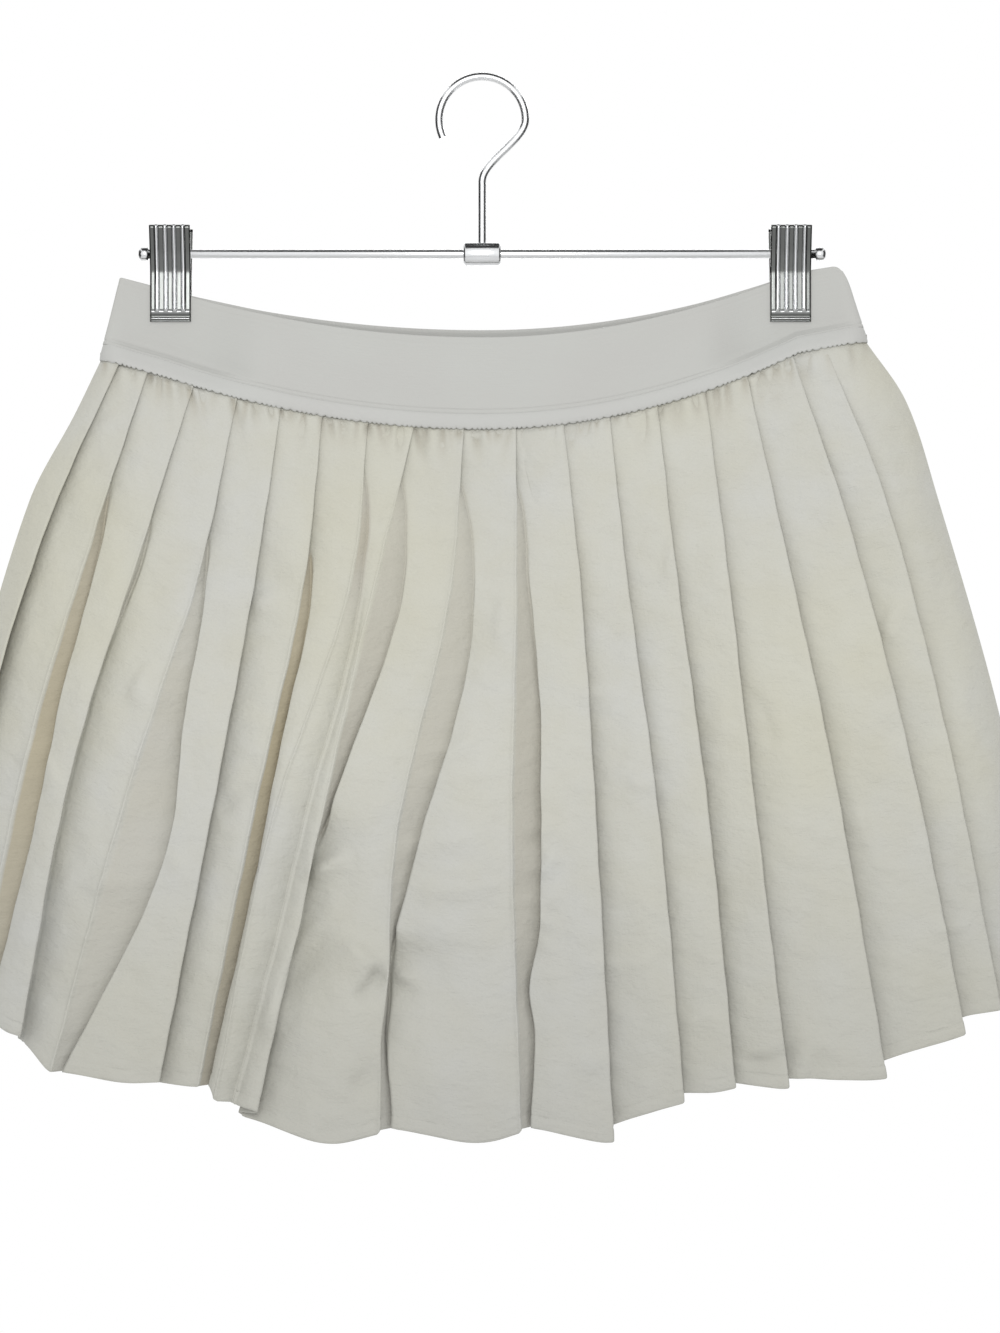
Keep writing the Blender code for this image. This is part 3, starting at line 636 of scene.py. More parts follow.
CREASE_GAIN = 2.6  # the heights are multiplied by this
CREASE_SOFT_SIDE = 2.6  # width of its soft side, in sharp ones
CREASE_TAPER = 0.35  # how much lower a crease ends


def crease_relief(creases, x, down):
    """How far the cloth stands out at each point, by its creases."""
    relief = np.zeros_like(x)
    for row in creases:
        crease = dict(zip(CREASE_COLUMNS, row))
        angle = math.radians(crease["angle"])
        dx, dz = x - crease["x"], crease["down"] - down
        along = dx * math.cos(angle) + dz * math.sin(angle)
        off = -dx * math.sin(angle) + dz * math.cos(angle)
        t = along / (crease["length"] / 2)
        off = off - crease["bow"] * (1 - t * t)
        width = np.where(off > 0, crease["width"], crease["width"] * CREASE_SOFT_SIDE)
        fade = np.exp(-(t ** 4)) * (1 - CREASE_TAPER * t)
        relief += crease["height"] * np.exp(-(off / width) ** 2) * fade
    return relief * CREASE_GAIN


NOISE_WAVES = 7
NOISE_SCALE = 3.2  # their sum is seldom over this


def soft_noise(x, z, scale, seed):
    """A smooth, seeded, repeatable wave field, about -1 to 1."""
    draw = np.random.default_rng(seed)
    total = np.zeros_like(x)
    for _ in range(NOISE_WAVES):
        angle = draw.uniform(0, math.pi)
        size = scale * draw.uniform(0.7, 1.6)
        phase = draw.uniform(0, 2 * math.pi)
        total += np.sin((x * math.cos(angle) + z * math.sin(angle)) * 2 * math.pi / size + phase)
    return total / NOISE_SCALE


# Rows down a panel, closer together at the waist and at the hem
ROW_SHARES = np.concatenate([np.linspace(0.0, 0.05, 17)[:-1], np.linspace(0.05, 0.96, 126)[:-1],
                             np.linspace(0.96, 1.0, 12)])


def panel_grid(rows, bends, hem_tips, turn):
    """The pleated surface before its relief, and the painted shade at each point."""
    pleats = [dict(zip(COLUMNS, row)) for row in rows]
    grid, shade = [], []
    for share in ROW_SHARES:
        points, shades = panel_row(pleats, bends, hem_tips, float(share), turn)
        if share == 0.0:
            points[:, 2] = edge_height(points[:, 0] * turn, 0.0, SEAM_RISE, turn < 0)
        grid.append(points)
        shade.append(shades)
    grid, shade = np.array(grid), np.array(shade)
    share = np.broadcast_to(ROW_SHARES[:, None], grid.shape[:2])
    level = grid[:, :, 2].copy()
    for _ in range(HEM_ROUND):
        level[:, 1:-1] = (level[:, :-2] + level[:, 1:-1] * 2 + level[:, 2:]) / 4
    grid[:, :, 2] = mix(grid[:, :, 2], level, ease((share - HEM_ROUND_FROM) / (1 - HEM_ROUND_FROM)))
    return grid, shade, share


def add_puckers(relief, shade, x, below, seed):
    """Cut short troughs under the binding into relief.  Gives the painted shade, with theirs added.
    """
    draw = np.random.default_rng(seed)
    at = x[0].min() + PUCKER_FIRST
    above, grows = PUCKER_TOP
    while at < x[0].max():
        depth, width, length, lean = (draw.uniform(*limits) for limits in PUCKERS)
        trough = np.exp(-((x - at - lean * below) / (width * (1 + PUCKER_WIDENS * below))) ** 2)
        trough *= np.exp(-(below / length) ** 2) * ease((below + above) / grows)
        relief -= PUCKER_GAIN * depth * trough
        shade = np.maximum(shade, PUCKER_SHADE * trough * min(depth, 1.0))
        at += draw.uniform(*PUCKER_PITCH)
    return shade


def cloth_places(grid):
    """Distance along the strip and up from the hem, at each point."""
    run = np.linalg.norm(np.diff(grid, axis=1), axis=2)
    u = np.concatenate([np.zeros((len(grid), 1)), np.cumsum(run, axis=1)], axis=1)
    u = np.broadcast_to(u[len(grid) // 2], u.shape)
    fall = np.linalg.norm(np.diff(grid, axis=0), axis=2)
    v = np.concatenate([np.cumsum(fall[::-1], axis=0)[::-1], np.zeros((1, fall.shape[1]))])
    return u, v


def skirt_panel(name, rows, bends, hem_tips, creases, turn, finish, seed):
    """A pleated panel, from its tuck behind the binding to its turned hem."""
    grid, shade, share = panel_grid(rows, bends, hem_tips, turn)
    x, down = grid[:, :, 0], -grid[:, :, 2]

    # creases, slow waves, gathers and puckers, all along Y so that leaves never cross
    relief = crease_relief(creases, x, down)
    calm = ease(share / WAVES_FROM)
    for i, (height, length, stretch) in enumerate(WAVES):
        relief += height * soft_noise(x, down * stretch, length, seed + i) * calm
    below = share * SKIRT_LENGTH
    height, length, stretch = GATHERS
    gathers = soft_noise(x, down * stretch, length, seed + len(WAVES))
    relief += height * gathers * ease(below / GATHERS_FROM) * np.exp(-below / GATHERS_FADE)
    shade = add_puckers(relief, shade, x, below, seed + 5)
    near_rim = np.minimum(x - grid[:, :1, 0], grid[:, -1:, 0] - x)
    grid[:, :, 1] -= relief * ease(near_rim / SIDE_CALM)

    u, v = cloth_places(grid)
    normals = grid_normals(grid)
    groove = STITCH_GROOVE * np.exp(-((v - HEM_DEPTH) / STITCH_WIDTH) ** 2)
    crown = HEM_CROWN * np.exp(-((v - HEM_DEPTH * 0.5) / (HEM_DEPTH * 0.42)) ** 4)
    grid = grid + normals * (crown - groove)[:, :, None]

    # run up behind the binding, and the turned hem behind the lower edge
    above = [grid[0] + np.array([0.0, inset, rise]) for rise, inset in TOP_ROWS]
    up = grid[-3] - grid[-1]
    up /= np.linalg.norm(up, axis=1, keepdims=True)
    hem = [grid[-1] - normals[-1] * way_back + up * rise for way_back, rise, _ in HEM_ROWS]
    full = np.concatenate([np.array(above), grid, np.array(hem)])
    ends = [1 + len(TOP_ROWS)] + [1] * (len(u) - 2) + [1 + len(HEM_ROWS)]
    u, shade = np.repeat(u, ends, axis=0), np.repeat(shade, ends, axis=0)
    v = np.concatenate([*(v[:1] + rise for rise, _ in TOP_ROWS), v,
                        *(v[-1:] + place for _, _, place in HEM_ROWS)])
    full[:, :, 2] += SEAM_LOW_Z
    if turn < 0:
        full[:, :, :2] *= -1
    # the valley attribute holds painted shade: in pleat bottoms, beside leaf edges and in puckers
    return make_object(name, full.reshape(-1, 3), grid_faces(*full.shape[:2]), finish,
                       np.stack([u, v], axis=2).reshape(-1, 2), {"valley": shade.ravel()})


# ---- waistband and binding

END_REACH = 9.0  # width over which a strip's ends thin
TOOTH_FROM = 0.8  # teeth nick a strip from this share down
TOOTH_REACH = 0.2
TOOTH_HEIGHT = 0.85
TOOTH_STRAY = (0.35, 0.37)  # how far they wander, and at what rate
TOOTH_PITCH = 2.8
ROLL_STEPS = 18  # points over the binding's roll
ROLL_OUT = 0.75  # its edges, out from the seam
ROLL_BULGE = 1.65  # how far it stands out over them


def near_clip(x):
    """1 under a clip and 0 away from it."""
    nearest = np.min([np.abs(x - place) for place in CLIP_X], axis=0)
    return 1 - ease((nearest - CLIP_WIDTH / 2 - PINCH_MARGIN) / PINCH_REACH)


def strip_line(loops, edges, down, turn, columns):
    """Centre line of a strip at a share down between its edges."""
    at = np.linspace(0, HalfLoop.STEPS, columns)
    steps = np.arange(HalfLoop.STEPS + 1)
    places = []
    for loop, edge in zip(loops, edges):
        x, y = np.interp(at, steps, loop.x), np.interp(at, steps, loop.y)
        places.append(np.stack([x, y, edge_height(x * turn, *edge, turn < 0)], axis=1))
    return mix(places[0], places[1], down)


def closed_strip(name, turn, loops, edges, profile, pinch, finish, relief, corner=0.0,
                 end_out=1.0, serrate=0.0, columns=420):
    """A strip whose cross-section is the closed profile of (share down, out) pairs.
    corner rounds the top corner on the hanger's right; end_out thins its two ends;
    serrate is the pitch of the stitches that nick its lower edge."""
    grid, uvs = [], []
    run = 0.0
    for down, out in profile:
        line = strip_line(loops, edges, down, turn, columns)
        squeeze = near_clip(line[:, 0] * turn) * pinch(down)
        line[:, 1] = mix(line[:, 1], np.maximum(line[:, 1], -PINCH_HALF), squeeze)
        normals = np.stack([*outward(line[:, 0], line[:, 1]), np.zeros(columns)], axis=1)
        from_end = np.minimum(line[:, 0] - line[0, 0], line[-1, 0] - line[:, 0])
        at_end = ease(from_end / END_REACH)
        thin = mix(end_out, 1.0, at_end)
        moved = line + normals * ((out + relief(line[:, 0], down, out)) * thin)[:, None]
        if serrate and down > TOOTH_FROM:
            stray, rate = TOOTH_STRAY
            along = line[:, 0] / serrate + stray * np.sin(line[:, 0] * rate)
            teeth = np.abs(along % 1.0 - 0.5) * 2
            grown = ease((down - TOOTH_FROM) / TOOTH_REACH)
            moved[:, 2] += TOOTH_HEIGHT * teeth ** 2 * grown * at_end
        if corner:
            right_end = line[-1, 0] if turn > 0 else -line[0, 0]
            short = np.maximum(0.0, corner - (right_end - line[:, 0] * turn)) / corner
            moved[:, 2] -= corner * (1 - np.sqrt(np.maximum(0.0, 1 - short ** 2))) * (1 - down) ** 6
        moved[0, 1] = moved[-1, 1] = -GAP / 2
        if grid:
            run += float(np.median(np.linalg.norm(moved - grid[-1], axis=1)))
        length = np.concatenate([[0], np.cumsum(np.linalg.norm(np.diff(line, axis=0), axis=1))])
        uvs.append(np.stack([length, np.full(columns, run)], axis=1))
        grid.append(moved)
    grid.append(grid[0].copy())
    uvs.append(np.stack([uvs[0][:, 0], np.full(columns, run + 1.0)], axis=1))
    grid, uvs = np.array(grid), np.array(uvs)
    grid[:, :, 2] += SEAM_LOW_Z
    if turn < 0:
        grid[:, :, :2] *= -1
    thing = make_object(name, grid.reshape(-1, 3), grid_faces(*grid.shape[:2]), finish,
                        uvs.reshape(-1, 2))
    weld = thing.modifiers.new("close", "WELD")
    weld.merge_threshold = 1e-6
    return thing


def band_pinch(down):
    """How far a clip presses the band together, at a share down."""
    return 1 - BAND_OPENS * ease((down - BAND_PINCHED) / (1 - BAND_PINCHED))


def binding_pinch(down):
    """The same for the binding, where it dies out."""
    return (1 - BAND_OPENS) * (1 - float(ease(down)))


def waistband(name, turn, finish, seed):
    """The elastic band, with slow waves and a sunk line near each edge."""
    loops = HalfLoop(LOOP_BAND_TOP, turn), HalfLoop(LOOP_BINDING_TOP, turn)
    edges = (BAND_TOP_LOW, BAND_TOP_RISE), (BINDING_TOP_LOW, BINDING_TOP_RISE)
    half = BAND_WALL / 2

    def relief(x, down, out):
        if out < 0:
            return np.zeros_like(x)
        wave = 0.35 * soft_noise(x, x * 0 + down * 40, 60.0, seed)
        wave += 0.10 * soft_noise(x, x * 0 + down * 40, 22.0, seed + 1)
        clear = 1 - near_clip(x * turn)
        line = 0.32 * math.exp(-((down - 0.955) / 0.012) ** 2)
        edge = 0.10 * math.exp(-((down - 0.10) / 0.012) ** 2)
        return wave * clear * math.sin(math.pi * min(max(down, 0.0), 1.0)) - line - edge

    downs = np.concatenate([np.linspace(0.02, 0.14, 9), np.linspace(0.18, 0.88, 12),
                            np.linspace(0.90, 1.0, 14)])
    profile = [(0.0, half * 0.15), (0.003, half * 0.6), (0.010, half * 0.92),
               *((float(d), half) for d in downs), (1.02, half), (1.02, -half),
               *((float(d), -half) for d in downs[::-4]), (0.008, -half * 0.8)]
    return closed_strip(name, turn, loops, edges, profile, band_pinch, finish, relief,
                        corner=5.0)


def binding(name, turn, finish, seed):
    """The rolled strip over the seam."""
    loops = HalfLoop(LOOP_BINDING_TOP, turn), HalfLoop(LOOP_SEAM, turn)
    edges = (BINDING_TOP_LOW, BINDING_TOP_RISE), (0.0, SEAM_RISE)

    def relief(x, down, out):
        if out < 0:
            return np.zeros_like(x)
        wave = 0.14 * soft_noise(x, x * 0 + down * 6, 17.0, seed)
        wave += 0.08 * soft_noise(x, x * 0 + down * 4, 6.0, seed + 1)
        tuck = 0.16 * soft_noise(x, x * 0, 4.2, seed + 2) * math.exp(-((down - 1.0) / 0.22) ** 2)
        return wave * math.sin(math.pi * min(max(down, 0.0), 1.0)) + tuck

    profile = []
    for i in range(ROLL_STEPS + 1):
        angle = math.pi * (i / ROLL_STEPS * 1.16 - 0.08)
        down, bulge = 0.5 - 0.5 * math.cos(angle), math.sin(angle)
        bulge = math.copysign(abs(bulge) ** 0.8, bulge)
        profile.append((down, ROLL_OUT + ROLL_BULGE * bulge))
    profile += [(0.8, -0.6), (0.5, -0.9), (0.2, -0.6)]
    return closed_strip(name, turn, loops, edges, profile, binding_pinch, finish, relief,
                        end_out=0.35, serrate=TOOTH_PITCH, columns=1100)


# ---- hanger

SPRING_TURNS, SPRING_STEPS = 8, 20
SPRING_WIRE = 0.55
SPRING_END = 0.7  # how far inside its length the coil ends
JAW_COLUMNS = 97
JAW_WALL = 0.25
JAW_FINE = 9  # finer rows up to here: ribs, bead and slope
HOLLOW_HEIGHT = 2.0  # face higher than this gets no painted shade


def lathe(name, profile, finish, sides=40):
    """A solid turned about the bar's axis from (x, radius) pairs."""
    angles = 2 * np.pi * np.arange(sides) / sides
    points, faces = [], []
    for x, radius in profile:
        points += [(x, radius * math.cos(a), BAR_Z + radius * math.sin(a)) for a in angles]
    for r in range(len(profile) - 1):
        for i in range(sides):
            j = (i + 1) % sides
            faces.append((r * sides + i, r * sides + j, (r + 1) * sides + j, (r + 1) * sides + i))
    return make_object(name, points, faces, finish)


def mirrored(profile):
    """A lathe's whole profile from its left half."""
    return profile + [(-x, radius) for x, radius in reversed(profile)]


def wire(name, path, radius, finish):
    """A round wire along a path."""
    curve = bpy.data.curves.new(name, "CURVE")
    curve.dimensions = "3D"
    curve.bevel_depth = radius * MM
    curve.bevel_resolution = 5
    curve.use_fill_caps = True
    spline = curve.splines.new("POLY")
    spline.points.add(len(path) - 1)
    for point, place in zip(spline.points, path):
        point.co = (*(c * MM for c in place), 1.0)
    curve.materials.append(finish)
    return add_object(name, curve)


def hook(finish):
    """Stem, neck and open bend in one wire."""
    bend_z = -(HOOK_BEND_RADIUS - HOOK_WIRE_RADIUS)
    stem_foot = BAR_Z + BOSS_RADIUS - SOCKET_DEPTH + GAP
    swing_foot = bend_z - HOOK_NECK - HOOK_NECK_EASE
    path = [(0.0, 0.0, stem_foot), (0.0, 0.0, swing_foot)]
    for i in range(1, 24):
        share = i / 24
        path.append((HOOK_BEND_RADIUS * float(ease(share)), 0.0, mix(swing_foot, bend_z, share)))
    for i in range(61):
        angle = math.radians(HOOK_OPEN_DEG) * i / 60
        path.append((HOOK_BEND_RADIUS * math.cos(angle), 0.0,
                     bend_z + HOOK_BEND_RADIUS * math.sin(angle)))
    return wire("hook", path, HOOK_WIRE_RADIUS, finish)


def spring(name, x_middle, finish):
    """A coil round the bar."""
    radius = SPRING_RADIUS - SPRING_WIRE
    length, count = 2 * SPRING_HALF - 2 * SPRING_END, SPRING_TURNS * SPRING_STEPS
    path = []
    for i in range(count + 1):
        angle = 2 * math.pi * i / SPRING_STEPS
        x = x_middle - SPRING_HALF + SPRING_END + length * i / count
        path.append((x, radius * math.cos(angle), BAR_Z + radius * math.sin(angle)))
    return wire(name, path, SPRING_WIRE, finish)


def jaw_relief(across, up):
    """Height of a jaw's face above its sheet.  across is 0 to 1, up is from its foot."""
    edge = min(across, 1 - across) * CLIP_WIDTH
    rim = float(ease(edge / 0.7))
    bead = 1.0 * math.exp(-((up - 1.5) / 0.4) ** 2)
    slope = 0.7 * float(ease((up - 2.2) / 3.0))
    place = (across - 0.5) * CLIP_WIDTH / RIB_PITCH + (CLIP_RIBS - 1) / 2
    off = place - min(max(round(place), 0), CLIP_RIBS - 1)
    rib = max(0.0, 1 - (off * RIB_PITCH / RIB_HALF) ** 2) ** 0.7
    rise = float(ease((up - 4.6) / 1.6))
    return (0.3 + bead + slope * (1 - 0.6 * rise) + 1.5 * rib * rise) * rim


def jaw(name, x_middle, turn, finish):
    """One side of a clip: a ribbed sheet from its foot to its tab."""
    foot = SEAM_LOW_Z + CLIP_FOOT
    top = BAR_Z + CLIP_TAB
    ups = np.concatenate([np.linspace(0, JAW_FINE, 31)[:-1],
                          np.linspace(JAW_FINE, top - foot, 24)])
    outer, inner, hollow = [], [], []
    for up in ups:
        z = foot + up
        y = np.interp(z, [foot, foot + CLIP_GRIP, BAR_Z, top],
                      [CLIP_BAND_HALF, CLIP_BAND_HALF, SPRING_RADIUS + GAP,
                       SPRING_RADIUS + CLIP_TAB_OPENS])
        for c in range(JAW_COLUMNS):
            across = c / (JAW_COLUMNS - 1)
            x = (across - 0.5) * CLIP_WIDTH
            height = jaw_relief(across, up)
            outer.append((x, -(y + JAW_WALL + height), z))
            inner.append((x, -y, z))
            # painted shade: more in the grooves, and all of it on the inner face
            hollow.append(1 - min(height / HOLLOW_HEIGHT, 1.0))
    rows = len(ups)
    count = rows * JAW_COLUMNS
    index = np.arange(count).reshape(rows, JAW_COLUMNS)
    face = grid_faces(rows, JAW_COLUMNS)
    faces = face.tolist() + (face[:, ::-1] + count).tolist()
    rim = [*index[0], *index[1:, -1], *index[-1, -2::-1], *index[-2:0:-1, 0]]
    for a, b in zip(rim, rim[1:] + rim[:1]):
        faces.append((int(a), int(b), int(b) + count, int(a) + count))
    points = np.array(outer + inner)
    if turn < 0:
        points[:, :2] *= -1
    points[:, 0] += x_middle
    return make_object(name, points, faces, finish, None, {"hollow": hollow + [1.0] * count})


# ---- finishes

class Shader:
    """Short names for building one material's nodes."""

    def __init__(self, name, roughness, metallic=0.0, sheen=0.0, specular=0.5):
        self.material = bpy.data.materials.new(name)
        self.material.use_nodes = True
        self.tree = self.material.node_tree
        self.main = self.tree.nodes["Principled BSDF"]
        self.main.inputs["Roughness"].default_value = roughness
        self.main.inputs["Metallic"].default_value = metallic
        self.main.inputs["Specular IOR Level"].default_value = specular
        self.main.inputs["Sheen Weight"].default_value = sheen
        self.main.inputs["Sheen Roughness"].default_value = 0.5

    def node(self, kind, inputs=None, **settings):
        made = self.tree.nodes.new("ShaderNode" + kind)
        for key, value in settings.items():
            setattr(made, key, value)
        for key, value in (inputs or {}).items():
            if isinstance(value, bpy.types.NodeSocket):
                self.tree.links.new(value, made.inputs[key])
            else:
                made.inputs[key].default_value = value
        return made

    def math(self, operation, a, b=0.0):
        return self.node("Math", {0: a, 1: b}, operation=operation).outputs[0]

    def noise(self, vector, scale, detail=2.0, roughness=0.5):
        made = self.node("TexNoise",
                         {"Vector": vector, "Scale": scale, "Detail": detail,
                          "Roughness": roughness})
        return made.outputs["Fac"]

    def stretched(self, vector, x, y, z=1.0):
        return self.node("Mapping", {"Vector": vector, "Scale": (x, y, z)}).outputs[0]

    def mix(self, factor, a, b):
        made = self.node("Mix", data_type="RGBA")
        for socket, value in zip((made.inputs[0], *made.inputs[6:8]), (factor, a, b)):
            if isinstance(value, bpy.types.NodeSocket):
                self.tree.links.new(value, socket)
            else:
                socket.default_value = (*value, 1.0)
        return made.outputs[2]

    def ramp(self, value, low, high):
        made = self.node("MapRange", {"Value": value, "From Min": low, "From Max": high})
        return made.outputs[0]

    def bump(self, height, strength, distance, before=None):
        inputs = {"Height": height, "Strength": strength, "Distance": distance}
        if before is not None:
            inputs["Normal"] = before
        return self.node("Bump", inputs).outputs[0]

    def finish(self, colour=None, normal=None, roughness=None):
        for key, value in (("Base Color", colour), ("Normal", normal), ("Roughness", roughness)):
            if value is not None:
                self.tree.links.new(value, self.main.inputs[key])
        return self.material


def cloth_finish(name, face, warm, deep, thread, open_pleat_painted_shade, narrow_pleat_painted_shade, low):
    """Plain-woven cotton: threads both ways, a little slub and faint mottling.  Painted shade
    makes the pleats' insides warmer, darker where they stay narrow, and the cloth darker towards
    the hem."""
    shader = Shader(name, 0.88, sheen=0.12, specular=0.25)
    uv = shader.node("TexCoord").outputs["UV"]
    place = shader.node("TexCoord").outputs["Object"]
    weft = shader.noise(shader.stretched(uv, 110.0, 1400.0), 1.0, 3.0, 0.6)
    warp = shader.noise(shader.stretched(uv, 1400.0, 110.0), 1.0, 3.0, 0.6)
    threads = shader.math("ADD", shader.math("MULTIPLY", weft, 0.65),
                          shader.math("MULTIPLY", warp, 0.35))
    crumple = shader.noise(shader.stretched(place, 1.0, 1.0, 1.5), 75.0, 4.0, 0.6)
    normal = shader.bump(threads, 0.5, 0.0005)
    normal = shader.bump(crumple, 0.7, 0.0022, normal)
    wander = shader.noise(shader.stretched(place, 1.0, 1.0, 1.5), 13.0, 2.0, 0.55)
    ridged = shader.math("ABSOLUTE", shader.math("SUBTRACT", wander, 0.5))
    normal = shader.bump(shader.math("MINIMUM", ridged, 0.06), 0.25, 0.012, normal)
    patches = shader.noise(shader.stretched(place, 1.0, 1.0, 0.7), 9.0, 1.5, 0.5)
    colour = shader.mix(shader.ramp(patches, 0.38, 0.62), face, warm)
    mottle = shader.ramp(shader.noise(place, 38.0, 3.0, 0.55), 0.25, 0.75)
    colour = shader.mix(shader.math("MULTIPLY", mottle, 0.35), colour, deep)
    streak = shader.ramp(threads, 0.3, 0.7)
    colour = shader.mix(shader.math("MULTIPLY", streak, 0.12), colour, thread)
    # painted shade: pleat bottoms warmer and darker by the valley attribute, darkest in narrow ones
    valley = shader.node("Attribute", attribute_name="valley").outputs["Fac"]
    colour = shader.mix(shader.ramp(valley, 0.0, 0.4), colour, open_pleat_painted_shade)
    colour = shader.mix(shader.ramp(valley, 0.4, 1.0), colour, narrow_pleat_painted_shade)
    # painted shade: the cloth darker towards the hem, where less light falls
    height = shader.node("SeparateXYZ", {0: place}).outputs[2]
    lower = shader.math("MULTIPLY", shader.ramp(height, -0.32, -0.50), 0.6)
    colour = shader.mix(lower, colour, low)
    return shader.finish(colour, normal)


def elastic_finish(name, face, warm, rib):
    """Woven elastic: fine ribs along its length, softer than the cloth."""
    shader = Shader(name, 0.8, sheen=0.1, specular=0.3)
    uv = shader.node("TexCoord").outputs["UV"]
    place = shader.node("TexCoord").outputs["Object"]
    ribs = shader.noise(shader.stretched(uv, 60.0, 1100.0), 1.0, 2.0, 0.5)
    grain = shader.noise(shader.stretched(uv, 1200.0, 1200.0), 1.0, 2.0, 0.5)
    height = shader.math("ADD", shader.math("MULTIPLY", ribs, rib),
                         shader.math("MULTIPLY", grain, 0.4))
    normal = shader.bump(height, 0.3, 0.0004)
    mottle = shader.ramp(shader.noise(place, 18.0, 2.0, 0.5), 0.3, 0.7)
    colour = shader.mix(mottle, face, warm)
    return shader.finish(colour, normal)


def chrome_finish(name, bright, hollow_painted_shade):
    """Bright plated steel with painted shade in its hollows, and faint rubbing marks."""
    shader = Shader(name, 0.16, metallic=1.0)
    place = shader.node("TexCoord").outputs["Object"]
    hollow = shader.node("Attribute", attribute_name="hollow").outputs["Fac"]
    marks = shader.noise(shader.stretched(place, 900.0, 900.0, 120.0), 1.0, 3.0, 0.6)
    # painted shade: hollows darker
    cavity = shader.ramp(hollow, 0.25, 0.7)
    colour = shader.mix(cavity, bright, hollow_painted_shade)
    rough = shader.math("ADD", shader.math("MULTIPLY", marks, 0.14), 0.13)
    return shader.finish(colour, shader.bump(marks, 0.02, 0.0001), rough)


# ---- build

# of these colours, the last three are painted shade: in open pleats, in narrow pleats and towards
# the hem
cloth = cloth_finish("ivory_cloth", face=(0.468, 0.470, 0.444), warm=(0.475, 0.470, 0.408),
                     deep=(0.430, 0.411, 0.310), thread=(0.42, 0.415, 0.37),
                     open_pleat_painted_shade=(0.398, 0.383, 0.330), narrow_pleat_painted_shade=(0.352, 0.308, 0.210),
                     low=(0.34, 0.34, 0.322))
elastic = elastic_finish("white_elastic", (0.424, 0.428, 0.408), (0.415, 0.413, 0.395), 0.8)
tape = elastic_finish("white_binding", (0.434, 0.439, 0.421), (0.427, 0.425, 0.409), 0.3)
# the second colour is painted shade for the hollows
chrome = chrome_finish("chrome_finish", (0.80, 0.81, 0.82), (0.15, 0.155, 0.15))

front = skirt_panel("front_panel", FRONT_PLEATS, FRONT_BENDS, FRONT_TIPS, FRONT_CREASES,
                    1, cloth, 11)
back = skirt_panel("back_panel", back_pleats(), BACK_BENDS, BACK_TIPS, BACK_CREASES,
                   -1, cloth, 23)
pieces = [(front, "skirt_front", "cloth"), (back, "skirt_back", "cloth")]
for side, turn, seed in (("front", 1, 31), ("back", -1, 37)):
    pieces.append((waistband("band_" + side, turn, elastic, seed), "waistband_" + side, "elastic"))
for side, turn, seed in (("front", 1, 41), ("back", -1, 43)):
    pieces.append((binding("roll_" + side, turn, tape, seed), "binding_" + side, "binding"))

# outlines as (x, radius): the bar with a knob at each end, and the boss
bar_profile = [(-BAR_HALF, 0.05), (-BAR_HALF, 1.9), (-BAR_HALF + 1.2, 3.1), (-BAR_HALF + 4.4, 3.1),
               (-BAR_HALF + 5.0, BAR_RADIUS)]
boss_profile = [(-BOSS_HALF, BAR_RADIUS + GAP), (-BOSS_HALF, BOSS_RADIUS - 1.0),
                (-BOSS_HALF + 0.4, BOSS_RADIUS - 0.35), (-BOSS_HALF + 1.1, BOSS_RADIUS)]
pieces.append((lathe("bar", mirrored(bar_profile), chrome), "hanger_bar", "chrome"))
pieces.append((lathe("boss", mirrored(boss_profile), chrome), "hanger_boss", "chrome"))
pieces.append((hook(chrome), "hanger_hook", "chrome"))
for side, x in zip(("left", "right"), CLIP_X):
    for face, turn in (("front", 1), ("back", -1)):
        piece = jaw("jaw_%s_%s" % (side, face), x, turn, chrome)
        pieces.append((piece, "clip_%s_%s_jaw" % (side, face), "chrome"))
    pieces.append((spring("spring_%s" % side, x, chrome), "clip_%s_spring" % side, "chrome"))
for piece, node, slot in pieces:
    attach(piece, "root")
    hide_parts(node)

# ---- stage

CAMERA = (8.64, -1612.0, SEAM_LOW_Z - 113.5)
FLOOR_Z = -900.0
FLOOR_HALF = 1200.0
CARD_HALF = 900.0
CARD_OFF = 1150.0
KEY_SIZE = 600.0
KEY_WATTS = 8.0
SKIRT_MIDDLE = (0.0, 0.0, SEAM_LOW_Z - 150.0)
CORNERS = ((-1, -1), (1, -1), (1, 1), (-1, 1))

floor_look = Shader("pale_floor", 0.7)
floor_look.main.inputs["Base Color"].default_value = (0.62, 0.62, 0.62, 1.0)
floor = make_object("floor", [(a * FLOOR_HALF, b * FLOOR_HALF, FLOOR_Z) for a, b in CORNERS],
                    [(0, 1, 2, 3)], floor_look.material, smooth=False)

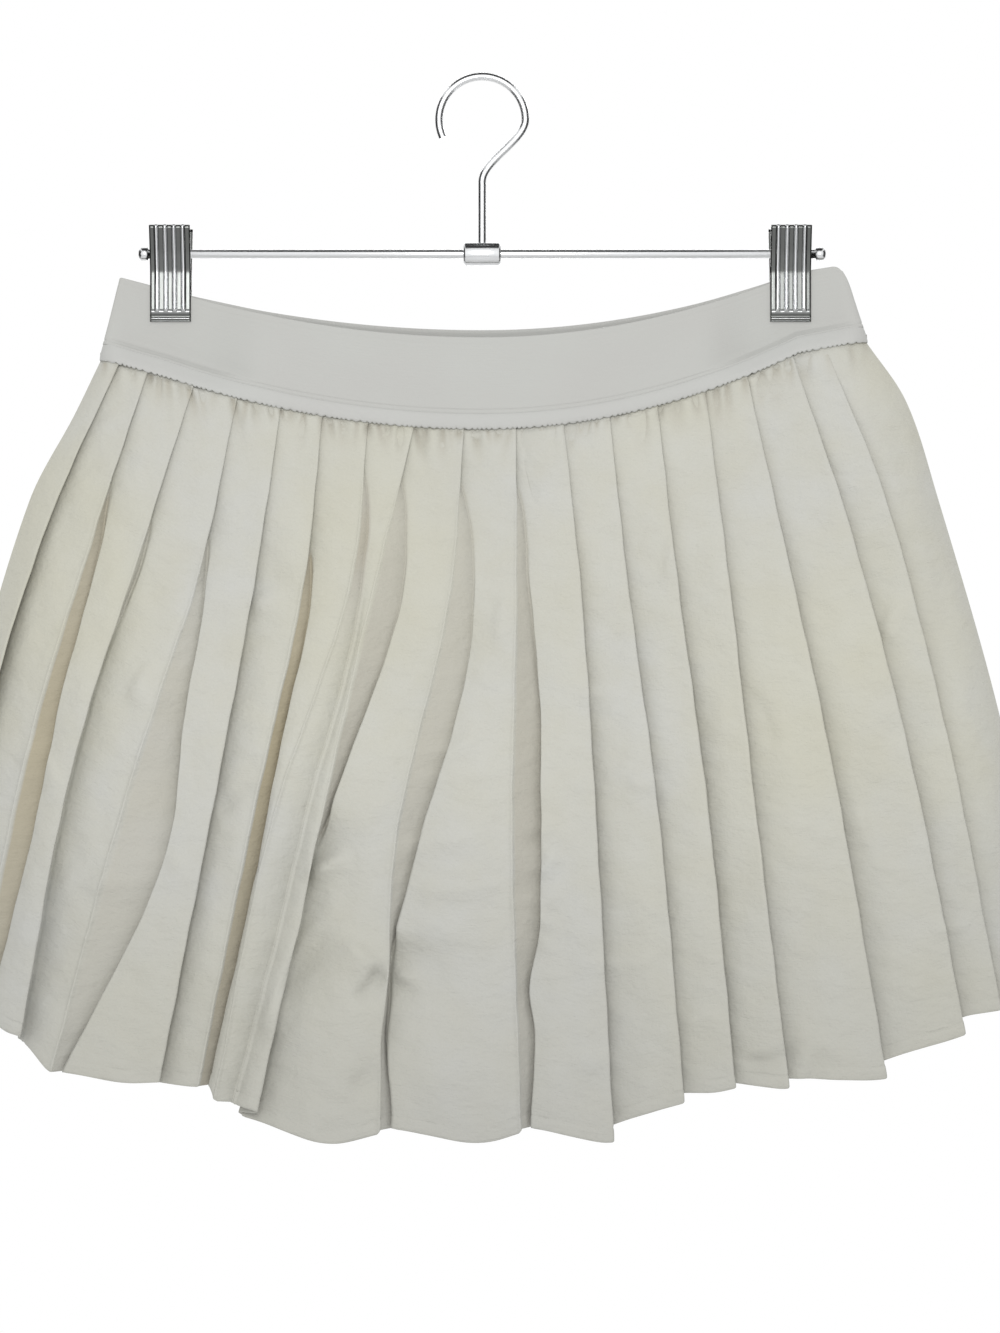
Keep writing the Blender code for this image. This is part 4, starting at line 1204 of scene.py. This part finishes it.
world = bpy.data.worlds.new("studio")
world.use_nodes = True
tree = world.node_tree
tree.nodes["Background"].inputs["Strength"].default_value = 1.0
direction = tree.nodes.new("ShaderNodeTexCoord").outputs["Generated"]
split = tree.nodes.new("ShaderNodeSeparateXYZ")
tree.links.new(direction, split.inputs[0])
dim_below = tree.nodes.new("ShaderNodeMapRange")
for key, value in (("From Min", -0.75), ("From Max", -0.3), ("To Min", 0.35), ("To Max", 1.0)):
    dim_below.inputs[key].default_value = value
tree.links.new(split.outputs["Z"], dim_below.inputs["Value"])
tree.links.new(dim_below.outputs[0], tree.nodes["Background"].inputs["Color"])
bpy.context.scene.world = world

# a large soft light before the skirt and one behind it
for name, place in (("key", (-40.0, -1400.0, 100.0)), ("back_key", (40.0, 1400.0, 100.0))):
    data = bpy.data.lights.new(name, "AREA")
    data.shape = "RECTANGLE"
    data.size = data.size_y = KEY_SIZE * MM
    data.energy = KEY_WATTS
    lamp = add_object(name, data)
    place, aim = Vector(place) * MM, Vector(SKIRT_MIDDLE) * MM
    lamp.location = place
    lamp.rotation_euler = (aim - place).to_track_quat("-Z", "Y").to_euler()

# dark cards that only polished metal mirrors: one on each side and one above
card_look = Shader("card", 1.0)
card_look.main.inputs["Base Color"].default_value = (0.02, 0.02, 0.02, 1.0)
for name, across in (("card_left", -CARD_OFF), ("card_right", CARD_OFF), ("card_above", 0.0)):
    if across:
        corners = [(across, a * CARD_HALF, b * CARD_HALF) for a, b in CORNERS]
    else:
        corners = [(a * CARD_HALF, b * CARD_HALF, CARD_OFF) for a, b in CORNERS]
    card = make_object(name, corners, [(0, 1, 2, 3)], card_look.material, smooth=False)
    card.visible_camera = card.visible_diffuse = card.visible_shadow = False

camera_data = bpy.data.cameras.new("camera")
camera_data.lens = 90.0
camera_data.sensor_width = 36.0
camera = add_object("camera", camera_data)
camera.location = tuple(c * MM for c in CAMERA)
camera.rotation_euler = (math.radians(90.0), 0.0, 0.0)
bpy.context.scene.camera = camera
bpy.context.scene.view_settings.view_transform = "Standard"
